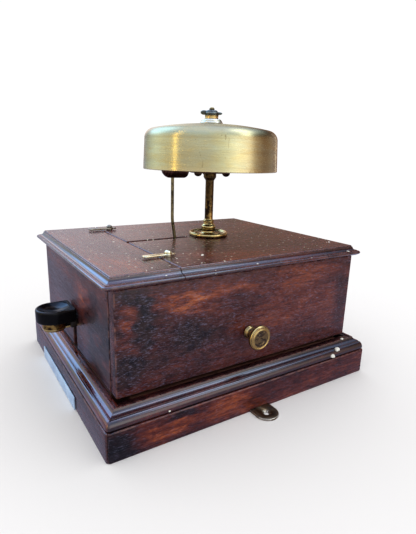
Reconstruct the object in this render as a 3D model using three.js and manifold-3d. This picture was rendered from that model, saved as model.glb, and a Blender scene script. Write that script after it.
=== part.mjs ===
// Single-stroke electric signalling bell with a tapper key, in a mahogany case.
// Millimetres, +Z up. The front, where the tapper comes out, faces -Y and the access panel faces +X.
// The origin is the middle of the baseboard's underside.
import * as THREE from "three";
import { mergeVertices } from "three/addons/utils/BufferGeometryUtils.js";
import Module from "manifold-3d";

const wasm = await Module();
wasm.setup();

// ---------- driving dimensions ----------

const GAP = 0.3; // clearance between pieces that touch
const PLINTH = { width: 260, depth: 300, height: 26.5, board: 14, floor: 22 };
const MOULDING = { bottom: 26.8, top: 40 };
const CASE = { width: 222.6, depth: 268.6, wall: 12, bottom: 41, top: 132.7 };
const LID = { width: 232.3, depth: 287.4, bottom: 133, top: 143, joint: -75.5, jointGap: 0.7 };
const PANEL = { thickness: 12, bottom: 41.4, top: 132.4, battenWidth: 16, battenDepth: 7 };
const HAMMER_SLOT = { x: -6.8, width: 6.4, end: -3 };
const TAPPER_SLOT = { x: -2.7, width: 11.6, top: 76 };
const CABLE_HOLE = { x: 62, z: 60, radius: 8 };

const BELL = { x: -6.5, y: 24.6 }; // axis of the pillar and gong
const GONG = { rim: 216.3, rimRadius: 74, wallTop: 248.6, topRadius: 72.5, shoulder: 10.7, rise: 6.1 };
const GONG_WALL = 2.4;
const FLANGE = { radius: 22.4, screwCircle: 15.6, height: 4.2 };
const SEAT = { bottom: 213.4, top: 216.4, radius: 22.5, padCircle: 18.4, padDrop: 3.7, padRadius: 4.4 };
const STUD_RADIUS = 3;

const MAGNET = { y: -38, spacing: 38, coreRadius: 5, top: 92, yoke: 6 };
const BOBBIN = { radius: 16, bottom: 30, top: 86, cheek: 3.5 };
const PIVOT = { y: -10, z: 98, pinRadius: 2.2, hub: 5.2 };
const ARMATURE = { length: 58, depth: 14, bottom: 96.6, thickness: 5 };
const ROD = { radius: 1.65, foot: 104.5, kink: 163, kinkY: -22.7, lidY: -19.4, top: 214 };
const HEAD = { z: 216, radius: 8, front: -35.2, back: -5.4 };

const TAPPER = { x: -2.7, pivotY: -84, pivotZ: 67, knobY: -153.9, width: 8, bottom: 63.9, top: 71.6 };
const KNOB = { radius: 16.3, bottom: 73.5, rim: 86, back: -135.7, skirt: 68, dish: 3.4 };

const LATCH = { right: 69, left: -82, pivot: -67, length: 25, width: 6.4, thickness: 1.9, lift: 1 };
const SIDE_KNOB = { y: -3, z: 72.6, radius: 11.7, reach: 19 };
const LUG = { width: 23, tip: 151.6, inner: 104, thickness: 2.2 };
const LUG_HOLE = { x: 140.5, radius: 2.4, sink: 4.8 };
const LABEL = { left: -78, right: 46, top: 13.4, thickness: 1.2 };
const TERMINALS = { y: 104, spacing: 34, count: 3, blockHeight: 10 };

// ---------- materials ----------

const surface = (color, roughness, metalness) =>
  new THREE.MeshStandardMaterial({ color, roughness, metalness });
const MAHOGANY = surface(0x4a1f16, 0.35, 0);
const DARK_WOOD = surface(0x2e1712, 0.5, 0);
const SATIN_BRASS = surface(0xb39a5e, 0.35, 1);
const OLD_BRASS = surface(0x7d5f2e, 0.45, 1);
const DARK_BRASS = surface(0x4b3a26, 0.5, 1);
const BRIGHT_BRASS = surface(0xd8cf9c, 0.25, 1);
const DARK_STEEL = surface(0x3c4248, 0.45, 1);
const IRON = surface(0x55565a, 0.55, 1);
const EBONITE = surface(0x0e0e10, 0.25, 0);
const HAMMER_BROWN = surface(0x2a1a16, 0.5, 0);
const GREEN_SILK = surface(0x2f5a3c, 0.8, 0);
const ALUMINIUM = surface(0x8fa0b0, 0.4, 1);

// ---------- shapes ----------

const part = new THREE.Group();

function toSolid(geometry) {
  const bare = geometry.clone();
  bare.deleteAttribute("normal");
  bare.deleteAttribute("uv");
  const merged = mergeVertices(bare, 1e-4);
  const triVerts = new Uint32Array(merged.index.array);
  const solid = new wasm.Manifold(
    new wasm.Mesh({ numProp: 3, vertProperties: merged.attributes.position.array, triVerts }),
  );
  if (solid.volume() >= 0) return solid;
  for (let i = 0; i < triVerts.length; i += 3) {
    [triVerts[i + 1], triVerts[i + 2]] = [triVerts[i + 2], triVerts[i + 1]];
  }
  return new wasm.Manifold(
    new wasm.Mesh({ numProp: 3, vertProperties: merged.attributes.position.array, triVerts }),
  );
}

function toGeometry(solid) {
  const mesh = solid.getMesh();
  const geometry = new THREE.BufferGeometry();
  geometry.setAttribute("position", new THREE.BufferAttribute(new Float32Array(mesh.vertProperties), 3));
  geometry.setIndex(new THREE.BufferAttribute(new Uint32Array(mesh.triVerts), 1));
  geometry.computeVertexNormals();
  return geometry;
}

function addPiece(name, solid, material) {
  const mesh = new THREE.Mesh(toGeometry(solid), material);
  mesh.name = name;
  part.add(mesh);
  return mesh;
}

const join = (first, ...others) => others.reduce((sum, other) => sum.add(other), first);
const cut = (first, ...others) => others.reduce((sum, other) => sum.subtract(other), first);

function box(x0, x1, y0, y1, z0, z1) {
  const geometry = new THREE.BoxGeometry(x1 - x0, y1 - y0, z1 - z0);
  geometry.translate((x0 + x1) / 2, (y0 + y1) / 2, (z0 + z1) / 2);
  return toSolid(geometry);
}

// A solid of revolution about the vertical line through (x, y). The profile holds [radius, z] pairs.
function turned(profile, x, y, sides = 24) {
  const points = profile.map(([radius, z]) => new THREE.Vector2(radius, z));
  const geometry = new THREE.LatheGeometry(points, sides);
  geometry.rotateX(Math.PI / 2);
  geometry.translate(x, y, 0);
  return toSolid(geometry);
}

function post(x, y, radius, z0, z1, sides = 16) {
  return turned([[0, z0], [radius, z0], [radius, z1], [0, z1]], x, y, sides);
}

// The same along X: the profile holds [radius, x] pairs.
function turnedAlongX(profile, y, z, sides = 24) {
  const points = profile.map(([radius, x]) => new THREE.Vector2(radius, x));
  const geometry = new THREE.LatheGeometry(points, sides);
  geometry.rotateZ(-Math.PI / 2);
  geometry.translate(0, y, z);
  return toSolid(geometry);
}

function rodAlongX(y, z, radius, x0, x1, sides = 16) {
  return turnedAlongX([[0, x0], [radius, x0], [radius, x1], [0, x1]], y, z, sides);
}

// The same along Y: the profile holds [radius, y] pairs.
function turnedAlongY(profile, x, z, sides = 24) {
  const points = profile.map(([radius, y]) => new THREE.Vector2(radius, y));
  const geometry = new THREE.LatheGeometry(points, sides);
  geometry.translate(x, 0, z);
  return toSolid(geometry);
}

function shapeOf(points) {
  return new THREE.Shape(points.map(([x, y]) => new THREE.Vector2(x, y)));
}

// An outline in the XY plane, extruded from z0 to z1.
function plate(shape, z0, z1, curveSegments = 12) {
  const geometry = new THREE.ExtrudeGeometry(shape, {
    depth: z1 - z0,
    bevelEnabled: false,
    curveSegments,
  });
  geometry.translate(0, 0, z0);
  return toSolid(geometry);
}

function arcPoints(centre, radius, from, to, steps) {
  return Array.from({ length: steps + 1 }, (_, i) => {
    const angle = from + ((to - from) * i) / steps;
    return [centre[0] + radius * Math.cos(angle), centre[1] + radius * Math.sin(angle)];
  });
}

// The centre line of a coil spring about the vertical line through (x, y).
class Helix extends THREE.Curve {
  constructor(x, y, radius, z0, z1, turns) {
    super();
    Object.assign(this, { x, y, radius, z0, z1, turns });
  }
  getPoint(t, target = new THREE.Vector3()) {
    const angle = 2 * Math.PI * this.turns * t;
    return target.set(
      this.x + this.radius * Math.cos(angle),
      this.y + this.radius * Math.sin(angle),
      this.z0 + (this.z1 - this.z0) * t,
    );
  }
}

function circleShape(radius, sides) {
  return shapeOf(arcPoints([0, 0], radius, 0, 2 * Math.PI * (1 - 1 / sides), sides - 1));
}

function sweep(curve, radius, steps, sides = 8) {
  return toSolid(
    new THREE.ExtrudeGeometry(circleShape(radius, sides), { steps, extrudePath: curve }),
  );
}

function spring(x, y, radius, wire, z0, z1, turns) {
  return sweep(new Helix(x, y, radius, z0 + wire, z1 - wire, turns), wire, turns * 9, 5);
}

// ---------- case ----------

// Moulding outlines: [inset from the outermost face, height].
const baseProfile = [
  [1.4, MOULDING.bottom],
  [0.7, 27.8],
  [0.7, 29.2],
  [1.6, 32.4],
  [3.4, 34.6],
  [4.5, 35.1],
  [4.6, 35.8],
  [6.6, 36.4],
  [8.3, 37.6],
  [9.3, 39],
  [9.8, MOULDING.top],
  [11.6, MOULDING.top],
  [12.1, 39],
];
const lidProfile = [
  [3.2, LID.bottom],
  [1.2, 134.3],
  [0.2, 135.2],
  [0.2, 136.3],
  [1.2, 137.3],
  [2.6, 137.6],
  [2.8, 137.9],
  [4.8, 138.4],
  [6.2, 139.4],
  [7, 140.7],
  [7.2, 141.5],
  [8, 141.7],
  [8.1, 142.6],
  [8.7, LID.top],
];

// A mitred length along one side. The outline is given as [inset, height], and the side's outer face is
// at distance `reach` from the middle, with mitres that end at `half` along it on the outer face.
function mitredLength(profile, reach, half, turn) {
  const geometry = new THREE.ExtrudeGeometry(shapeOf(profile), { depth: 1, bevelEnabled: false });
  const position = geometry.attributes.position;
  for (let i = 0; i < position.count; i++) {
    const inset = position.getX(i);
    const height = position.getY(i);
    const end = position.getZ(i) > 0.5 ? 1 : -1;
    position.setXYZ(i, end * (half - inset - GAP), inset - reach, height);
  }
  geometry.rotateZ(turn);
  return toSolid(geometry);
}

const shortSide = { reach: PLINTH.depth / 2, half: PLINTH.width / 2, caseHalf: CASE.depth / 2 };
const longSide = { reach: PLINTH.width / 2, half: PLINTH.depth / 2, caseHalf: CASE.width / 2 };
const SIDES = [
  { name: "front", turn: 0, ...shortSide },
  { name: "right", turn: Math.PI / 2, ...longSide },
  { name: "rear", turn: Math.PI, ...shortSide },
  { name: "left", turn: -Math.PI / 2, ...longSide },
];

function lugRecess(side) {
  const inner = side * (LUG.inner - 1);
  const outer = side * (PLINTH.width / 2 + 1);
  const half = LUG.width / 2 + GAP;
  return box(Math.min(inner, outer), Math.max(inner, outer), -half, half, -1, LUG.thickness + GAP);
}

function makePlinth() {
  const { width, depth, height, board, floor } = PLINTH;
  const x = width / 2 - board - GAP;
  const y = depth / 2 - board - GAP;
  addPiece("baseboard", cut(box(-x, x, -y, y, 0, floor), lugRecess(1), lugRecess(-1)), DARK_WOOD);
  const fasciaProfile = [[0, 0], [board, 0], [board, height], [1, height], [0, height - 1]];
  for (const { name, turn, reach, half, caseHalf } of SIDES) {
    const fascia = mitredLength(fasciaProfile, reach, half, turn);
    addPiece(`plinth_${name}`, cut(fascia, lugRecess(1), lugRecess(-1)), MAHOGANY);
    const back = reach - caseHalf - GAP;
    const outline = [...baseProfile, [back, 38.8], [back, MOULDING.bottom]];
    addPiece(`base_moulding_${name}`, mitredLength(outline, reach, half, turn), MAHOGANY);
  }
}

function makeWalls() {
  const { width, depth, wall, bottom, top } = CASE;
  const x = width / 2;
  const y = depth / 2;
  const doorX = x - PANEL.thickness - GAP;
  const slotHalf = TAPPER_SLOT.width / 2;
  const slot = box(
    TAPPER_SLOT.x - slotHalf, TAPPER_SLOT.x + slotHalf,
    -y - 1, -y + wall + 1,
    bottom - 1, TAPPER_SLOT.top,
  );
  addPiece("front_panel", cut(box(-x, doorX, -y, -y + wall, bottom, top), slot), MAHOGANY);
  const cable = turnedAlongY(
    [[0, y - wall - 1], [CABLE_HOLE.radius, y - wall - 1], [CABLE_HOLE.radius, y + 1], [0, y + 1]],
    CABLE_HOLE.x, CABLE_HOLE.z, 20,
  );
  const wallFoot = MOULDING.bottom;
  addPiece("rear_wall", cut(box(-x, doorX, y - wall, y, wallFoot, top), cable), MAHOGANY);
  const inside = y - wall - GAP;
  addPiece("left_wall", box(-x, -x + wall, -inside, inside, wallFoot, top), MAHOGANY);
  const rightSill = box(doorX - wall, x - GAP, -inside, inside, wallFoot, PANEL.bottom - 2.4);
  addPiece("right_sill", rightSill, DARK_WOOD);
  const frontSill = box(-x, doorX, -y, -y + wall, wallFoot, bottom - GAP);
  addPiece("front_sill", frontSill, DARK_WOOD);
}

// The lid's section across one direction, as an outline over (across, z).
function lidSection(size) {
  const half = size / 2;
  const right = lidProfile.map(([inset, z]) => [half - inset, z]);
  const left = lidProfile.map(([inset, z]) => [inset - half, z]).reverse();
  return shapeOf([...right, ...left]);
}

function makeLid() {
  const lengthOf = (depth) => ({ depth, bevelEnabled: false });
  const across = new THREE.ExtrudeGeometry(lidSection(LID.width), lengthOf(LID.depth));
  across.translate(0, 0, -LID.depth / 2);
  across.rotateX(Math.PI / 2);
  const along = new THREE.ExtrudeGeometry(lidSection(LID.depth), lengthOf(LID.width));
  along.translate(0, 0, -LID.width / 2);
  along.rotateX(Math.PI / 2);
  along.rotateZ(Math.PI / 2);
  const slab = toSolid(across).intersect(toSolid(along));
  const far = LID.depth;
  const half = LID.jointGap / 2;
  const slot = box(
    HAMMER_SLOT.x - HAMMER_SLOT.width / 2, HAMMER_SLOT.x + HAMMER_SLOT.width / 2,
    LID.joint - 1, HAMMER_SLOT.end, LID.bottom - 1, LID.top + 1,
  );
  const behindJoint = box(-far, far, LID.joint - half, far, 0, 2 * LID.top);
  const beforeJoint = box(-far, far, -far, LID.joint + half, 0, 2 * LID.top);
  addPiece("lid_front", cut(slab, behindJoint), MAHOGANY);
  addPiece("lid_rear", cut(slab, beforeJoint, slot), MAHOGANY);
}

function makeAccessPanel() {
  const { thickness, bottom, top, battenWidth, battenDepth } = PANEL;
  const x = CASE.width / 2;
  const y = CASE.depth / 2;
  addPiece("access_panel", box(x - thickness, x, -y, y, bottom, top), MAHOGANY);
  const inner = x - thickness - GAP;
  for (const [name, side] of [["front", -1], ["rear", 1]]) {
    const near = side * (y - CASE.wall - 3);
    const far = near - side * battenWidth;
    addPiece(
      `panel_batten_${name}`,
      box(inner - battenDepth, inner, Math.min(near, far), Math.max(near, far), bottom + 2, top - 3),
      DARK_WOOD,
    );
  }
  const knob = [
    [0, x + GAP],
    [6.4, x + GAP],
    [6.4, x + 1.6],
    [5, x + 3.2],
    [4.2, x + 7],
    [4.6, x + 10],
    [8, x + 12.4],
    [11, x + 13.4],
    [SIDE_KNOB.radius, x + 14.8],
    [SIDE_KNOB.radius, x + 16.4],
    [10.4, x + 18],
    [7.2, x + 18.4],
    [4.2, x + SIDE_KNOB.reach],
    [0, x + SIDE_KNOB.reach],
  ];
  addPiece("side_knob", turnedAlongX(knob, SIDE_KNOB.y, SIDE_KNOB.z, 28), OLD_BRASS);
}

// ---------- brass on the case ----------

// A flat tongue from (0, back) to (0, -length), with a round front end.
function tongueShape(half, back, length) {
  const points = [
    [half, back],
    ...arcPoints([0, -length + half], half, 0, -Math.PI, 8),
    [-half, back],
  ];
  return shapeOf(points);
}

function makeLatches() {
  for (const side of ["left", "right"]) {
    const x = LATCH[side];
    const y = LATCH.pivot;
    const low = LID.top + GAP;
    const high = LID.top + LATCH.lift;
    const tongue = plate(tongueShape(LATCH.width / 2, 0, LATCH.length), high, high + LATCH.thickness);
    const tail = plate(tongueShape(2.4, -2, 8), high, high + LATCH.thickness).rotate([0, 0, 180]);
    const boss = post(0, 0, 3.8, low, high + LATCH.thickness);
    const hole = post(0, 0, 1.8, low - 1, high + LATCH.thickness + 1);
    const latch = cut(join(tongue, tail, boss), hole).translate([x, y, 0]);
    addPiece(`latch_${side}`, latch, BRIGHT_BRASS);
    const headFoot = high + LATCH.thickness + GAP;
    const screw = [
      [0, low],
      [1.4, low],
      [1.4, headFoot],
      [3.4, headFoot],
      [3.3, headFoot + 1.4],
      [2.3, headFoot + 2.5],
      [0, headFoot + 2.9],
    ];
    addPiece(`latch_screw_${side}`, turned(screw, x, y, 16), BRIGHT_BRASS);
  }
}

function makeLugs() {
  const { width, tip, inner, thickness } = LUG;
  const { x: hole, radius, sink } = LUG_HOLE;
  const half = width / 2;
  for (const [name, turn] of [["right", 0], ["left", 180]]) {
    const outline = [
      [inner, -half],
      ...arcPoints([tip - half, 0], half, -Math.PI / 2, Math.PI / 2, 14),
      [inner, half],
    ];
    const countersunk = [
      [0, -1],
      [radius, -1],
      [radius, 0.6],
      [sink, thickness],
      [sink, thickness + 1],
      [0, thickness + 1],
    ];
    const lug = cut(plate(shapeOf(outline), 0, thickness), turned(countersunk, hole, 0, 20));
    addPiece(`lug_${name}`, lug.rotate([0, 0, turn]), OLD_BRASS);
  }
}

function makeLabel() {
  const face = -PLINTH.depth / 2 - GAP;
  const label = box(LABEL.left, LABEL.right, face - LABEL.thickness, face, 0.4, LABEL.top);
  addPiece("label_plate", label, ALUMINIUM);
}

// ---------- pillar and gong ----------

function gongOutline(inward) {
  const { rim, rimRadius, wallTop, topRadius, shoulder, rise } = GONG;
  const corner = topRadius - shoulder;
  const slope = Math.atan2(2 * rise * corner, corner * corner - rise * rise);
  const capRadius = corner / Math.sin(slope);
  const capFoot = wallTop + shoulder * Math.cos(slope);
  const capCentre = capFoot - (capRadius + shoulder) * Math.cos(slope);
  const offset = shoulder - inward;
  const dome = capRadius + shoulder - inward;
  const points = [[rimRadius - inward, rim], [topRadius - inward, wallTop]];
  const bend = arcPoints([corner, wallTop], offset, 0, Math.PI / 2 - slope, 5).slice(1);
  const steps = 4;
  const cap = Array.from({ length: steps }, (_, i) => {
    const angle = (slope * (steps - 1 - i)) / steps;
    return [dome * Math.sin(angle), capCentre + dome * Math.cos(angle)];
  });
  return { points: [...points, ...bend, ...cap], crown: capCentre + dome };
}

function makeGong() {
  const outside = gongOutline(0);
  const inside = gongOutline(GONG_WALL);
  const bore = STUD_RADIUS + GAP;
  const outer = outside.points.slice(0, -1);
  const inner = inside.points.slice(0, -1).reverse();
  const profile = [
    [GONG.rimRadius - GONG_WALL, GONG.rim],
    ...outer,
    [bore, outside.crown],
    [bore, inside.crown],
    ...inner,
  ];
  addPiece("gong", turned(profile, BELL.x, BELL.y, 44), SATIN_BRASS);
  return { crown: outside.crown, underCrown: inside.crown };
}

function makePillar(underCrown) {
  const foot = LID.top + GAP;
  const bar = 4.7;
  const profile = [
    [0, foot],
    [FLANGE.radius - 0.8, foot],
    [FLANGE.radius, foot + 1],
    [FLANGE.radius, foot + 2.6],
    [FLANGE.radius - 1.2, foot + FLANGE.height],
    [FLANGE.radius - 2.6, foot + 3.8],
    [FLANGE.radius - 3.4, foot + 2.2],
    [9, foot + 2.2],
    [7.4, foot + 3],
    [7.4, foot + 7.6],
    [8.3, foot + 8.8],
    [8.3, foot + 10.4],
    [6.4, foot + 12.4],
    [5.6, foot + 15],
    [6.2, foot + 15.8],
    [6.2, foot + 17],
    [bar, foot + 18],
    [bar, 205.6],
    [6.2, 207.2],
    [7.1, 208.6],
    [7.1, SEAT.bottom - GAP],
    [5, SEAT.bottom - GAP],
    [5, underCrown - 8],
    [7, underCrown - 6],
    [7, underCrown - GAP],
    [STUD_RADIUS, underCrown - GAP],
    [STUD_RADIUS, 280.6],
    [2.4, 282],
    [0, 282.6],
  ];
  const holes = [0, 1, 2].map((i) => {
    const angle = 0.35 + (i * 2 * Math.PI) / 3;
    return [
      BELL.x + FLANGE.screwCircle * Math.cos(angle),
      BELL.y + FLANGE.screwCircle * Math.sin(angle),
    ];
  });
  const drills = holes.map(([x, y]) => post(x, y, 1.6, foot - 1, foot + 3, 10));
  addPiece("gong_pillar", cut(turned(profile, BELL.x, BELL.y, 20), ...drills), OLD_BRASS);
  const seat = foot + 2.2 + GAP;
  const screw = [
    [0, foot],
    [1.2, foot],
    [1.2, seat],
    [2.7, seat],
    [2.5, seat + 0.9],
    [1.4, seat + 1.5],
    [0, seat + 1.6],
  ];
  holes.forEach(([x, y], i) => addPiece(`flange_screw_${i + 1}`, turned(screw, x, y, 12), OLD_BRASS));
}

function makeSeat() {
  const { bottom, top, radius, padCircle, padDrop, padRadius } = SEAT;
  const ring = turned(
    [[5 + GAP, bottom], [radius, bottom], [radius, top], [5 + GAP, top], [5 + GAP, bottom]],
    BELL.x, BELL.y, 24,
  );
  const pads = [0, 1, 2].map((i) => {
    const angle = 0.73 + (i * 2 * Math.PI) / 3;
    const pad = [
      [0, bottom - padDrop],
      [padRadius * 0.5, bottom - padDrop * 0.86],
      [padRadius * 0.86, bottom - padDrop * 0.5],
      [padRadius, bottom + 1],
      [0, bottom + 1],
    ];
    return turned(pad, BELL.x + padCircle * Math.cos(angle), BELL.y + padCircle * Math.sin(angle), 12);
  });
  addPiece("gong_seat", join(ring, ...pads), DARK_BRASS);
}

function makeTopHardware(crown) {
  const bore = STUD_RADIUS + GAP;
  const washerFoot = crown + GAP;
  const washerTop = washerFoot + 4.6;
  const washer = [
    [bore, washerFoot],
    [12.6, washerFoot],
    [12.2, washerFoot + 1.4],
    [10.6, washerTop - 0.8],
    [9.6, washerTop],
    [bore, washerTop],
    [bore, washerFoot],
  ];
  addPiece("gong_washer", turned(washer, BELL.x, BELL.y, 28), BRIGHT_BRASS);
  const sleeveFoot = washerTop + GAP;
  const sleeveTop = sleeveFoot + 3.2;
  const sleeve = [
    [bore, sleeveFoot],
    [7.6, sleeveFoot],
    [7.6, sleeveTop],
    [bore, sleeveTop],
    [bore, sleeveFoot],
  ];
  addPiece("gong_sleeve", turned(sleeve, BELL.x, BELL.y, 20), OLD_BRASS);
  const nutFoot = sleeveTop + GAP;
  const hub = [
    [bore, nutFoot],
    [7.6, nutFoot],
    [7.6, nutFoot + 3.4],
    [5.2, nutFoot + 5.4],
    [bore, nutFoot + 5.4],
    [bore, nutFoot],
  ];
  const wings = [
    box(-12.4, -2.6, -3, 3, nutFoot + 0.6, nutFoot + 5.2),
    box(2.6, 11, -2.2, 2.2, nutFoot + 0.6, nutFoot + 3.6),
  ];
  const stud = post(0, 0, bore, nutFoot - 1, nutFoot + 9, 24);
  const nut = cut(join(turned(hub, 0, 0), ...wings), stud);
  addPiece("wing_nut", nut.rotate([0, 0, 57]).translate([BELL.x, BELL.y, 0]), DARK_STEEL);
}

// ---------- electromagnet and hammer ----------

const FLOOR = PLINTH.floor + GAP;

function makeMagnet() {
  const { y, spacing, coreRadius, top, yoke } = MAGNET;
  const places = [["left", BELL.x - spacing / 2], ["right", BELL.x + spacing / 2]];
  const bar = box(BELL.x - 30, BELL.x + 30, y - 9, y + 9, FLOOR, FLOOR + yoke);
  const cores = places.map(([, x]) => post(x, y, coreRadius, FLOOR + 1, top, 20));
  addPiece("magnet_yoke", join(bar, ...cores), IRON);
  const { radius, bottom, top: bobbinTop, cheek } = BOBBIN;
  const bore = coreRadius + GAP;
  const tube = bore + 1.6;
  for (const [name, x] of places) {
    const bobbin = [
      [bore, bottom],
      [radius, bottom],
      [radius, bottom + cheek],
      [tube, bottom + cheek],
      [tube, bobbinTop - cheek],
      [radius, bobbinTop - cheek],
      [radius, bobbinTop],
      [bore, bobbinTop],
      [bore, bottom],
    ];
    addPiece(`bobbin_${name}`, turned(bobbin, x, y), EBONITE);
    const low = bottom + cheek + GAP;
    const high = bobbinTop - cheek - GAP;
    const winding = [
      [tube + GAP, low],
      [radius - 1.4, low],
      [radius - 1.4, high],
      [tube + GAP, high],
      [tube + GAP, low],
    ];
    addPiece(`winding_${name}`, turned(winding, x, y), GREEN_SILK);
  }
}

function makeHammer() {
  const { y, z, pinRadius, hub } = PIVOT;
  const pinHole = rodAlongX(y, z, pinRadius + 0.1, BELL.x - 40, BELL.x + 40, 20);
  const base = box(BELL.x - 23, BELL.x + 23, y - 10, y + 34, FLOOR, FLOOR + 4);
  const cheeks = [-20, 17].map((x) => box(BELL.x + x, BELL.x + x + 3, y - 7, y + 7, FLOOR + 1, z + 7));
  addPiece("pivot_bracket", cut(join(base, ...cheeks), pinHole), DARK_BRASS);
  addPiece("pivot_pin", rodAlongX(y, z, pinRadius, BELL.x - 21.5, BELL.x + 21.5, 20), IRON);

  const armatureTop = ARMATURE.bottom + ARMATURE.thickness;
  const armature = box(
    BELL.x - ARMATURE.length / 2, BELL.x + ARMATURE.length / 2,
    MAGNET.y - ARMATURE.depth / 2, MAGNET.y + ARMATURE.depth / 2,
    ARMATURE.bottom, armatureTop,
  );
  addPiece("armature", armature, IRON);

  const barrel = rodAlongX(y, z, hub, BELL.x - 15, BELL.x + 15, 20);
  const arm = box(BELL.x - 7, BELL.x + 7, MAGNET.y - 6, y, armatureTop + GAP, armatureTop + GAP + 2.4);
  const riser = box(BELL.x - 7, BELL.x + 7, y - 6, y, z, armatureTop + GAP + 2.4);
  const tail = box(BELL.x - 4, BELL.x + 4, y, y + 28, z - 1.2, z + 1.8);
  const lean = (ROD.kinkY - ROD.lidY) / (ROD.kink - LID.top);
  const footY = ROD.lidY + (ROD.foot - LID.top) * lean;
  const socket = post(BELL.x, footY, 4.2, armatureTop + 1, ROD.foot + 8, 16);
  const socketHole = post(BELL.x, footY - 0.6, ROD.radius + 1.1, ROD.foot - GAP, ROD.foot + 12, 16);
  const lever = cut(join(barrel, arm, riser, tail, socket), socketHole, pinHole);
  addPiece("armature_lever", lever, OLD_BRASS);

  const bend = 5;
  const rodPath = new THREE.CurvePath();
  const low = new THREE.Vector3(BELL.x, footY, ROD.foot);
  const kink = new THREE.Vector3(BELL.x, ROD.kinkY, ROD.kink);
  const below = new THREE.Vector3(BELL.x, ROD.kinkY - lean * bend, ROD.kink - bend);
  const above = new THREE.Vector3(BELL.x, ROD.kinkY, ROD.kink + bend);
  const high = new THREE.Vector3(BELL.x, ROD.kinkY, ROD.top);
  rodPath.add(new THREE.LineCurve3(low, below));
  rodPath.add(new THREE.QuadraticBezierCurve3(below, kink, above));
  rodPath.add(new THREE.LineCurve3(above, high));
  addPiece("hammer_rod", sweep(rodPath, ROD.radius, 24, 10), OLD_BRASS);

  const { z: headZ, radius, front, back } = HEAD;
  const head = [
    [0, front],
    [2.6, front + 0.5],
    [5, front + 2.2],
    [7, front + 4.6],
    [radius, front + 7.6],
    [radius, back - 3.6],
    [7, back - 1.2],
    [4.6, back],
    [0, back],
  ];
  const bore = post(BELL.x, ROD.kinkY, ROD.radius + 0.35, headZ - radius - 1, ROD.top + GAP, 16);
  addPiece("hammer_head", cut(turnedAlongY(head, BELL.x, headZ), bore), HAMMER_BROWN);

  const springY = y + 14;
  const foot = FLOOR + 4 + GAP;
  const underTail = z - 1.2 - GAP;
  addPiece("armature_spring", spring(BELL.x, springY, 3.4, 0.6, foot, underTail, 11), IRON);
  const stop = [
    [0, foot],
    [4.6, foot],
    [4.6, FLOOR + 8],
    [2.6, FLOOR + 9],
    [2.6, z - 6],
    [3.4, z - 5.4],
    [3.4, underTail],
    [0, underTail],
  ];
  addPiece("stop_post", turned(stop, BELL.x, y + 24, 16), OLD_BRASS);
}

// ---------- tapper ----------

function makeTapper() {
  const { x, pivotY, pivotZ, knobY, width, bottom, top } = TAPPER;
  const half = width / 2;
  const pinRadius = 2;
  const pinHole = rodAlongX(pivotY, pivotZ, pinRadius + 0.1, x - 20, x + 20, 20);
  const bar = box(x - half, x + half, knobY + 4, pivotY + 26, bottom, top);
  const eye = post(x, knobY, 11, bottom, KNOB.bottom - GAP, 28);
  const contact = post(x, pivotY - 30, 2.4, bottom - 4, bottom + 1, 12);
  addPiece("tapper_lever", cut(join(bar, eye, contact), pinHole), OLD_BRASS);

  const { radius, bottom: knobBottom, rim, back, skirt, dish } = KNOB;
  const outline = (r, end) => shapeOf([
    [x + r, end],
    [x - r, end],
    ...arcPoints([x, knobY], r, Math.PI, 2 * Math.PI, 18),
  ]);
  const body = plate(outline(radius, back), knobBottom, rim - 1.2);
  const upper = plate(outline(radius - 0.7, back), knobBottom, rim);
  const shoulder = box(x - radius, x + radius, back - 6, back, skirt, knobBottom + 1);
  const notch = box(x - half - 0.5, x + half + 0.5, back - 8, back + 1, skirt - 1, top + GAP);
  const hollowRadius = radius - 2;
  const ball = (hollowRadius * hollowRadius + dish * dish) / (2 * dish);
  const sweepAngle = Math.asin(hollowRadius / ball);
  const bowlArc = arcPoints([0, rim + ball - dish], ball, -Math.PI / 2, sweepAngle - Math.PI / 2, 4);
  const bowl = turned([...bowlArc, [hollowRadius, rim + 1], [0, rim + 1]], x, knobY, 24);
  addPiece("tapper_knob", cut(join(body, upper, shoulder), notch, bowl), EBONITE);

  const base = box(x - 13, x + 13, pivotY - 10, pivotY + 10, FLOOR, FLOOR + 4);
  const cheeks = [-9.2, 6.2].map((dx) =>
    box(x + dx, x + dx + 3, pivotY - 6, pivotY + 6, FLOOR + 1, pivotZ + 7),
  );
  addPiece("tapper_bracket", cut(join(base, ...cheeks), pinHole), DARK_BRASS);
  addPiece("tapper_pin", rodAlongX(pivotY, pivotZ, pinRadius, x - 10.6, x + 10.6, 20), IRON);
  addPiece("tapper_spring", spring(x, pivotY - 18, 4.6, 0.7, FLOOR + GAP, bottom - GAP, 7), IRON);
  const anvil = [
    [0, FLOOR],
    [6, FLOOR],
    [6, FLOOR + 4],
    [3.6, FLOOR + 6],
    [3.6, bottom - 9],
    [2.6, bottom - 6.6],
    [0, bottom - 6.6],
  ];
  addPiece("contact_anvil", turned(anvil, x, pivotY - 30, 16), OLD_BRASS);
  const backStop = [
    [0, FLOOR],
    [5.4, FLOOR],
    [5.4, FLOOR + 4],
    [3, FLOOR + 5.6],
    [3, bottom - GAP],
    [0, bottom - GAP],
  ];
  addPiece("tapper_back_stop", turned(backStop, x, pivotY + 20, 16), OLD_BRASS);
}

// ---------- terminals ----------

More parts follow.
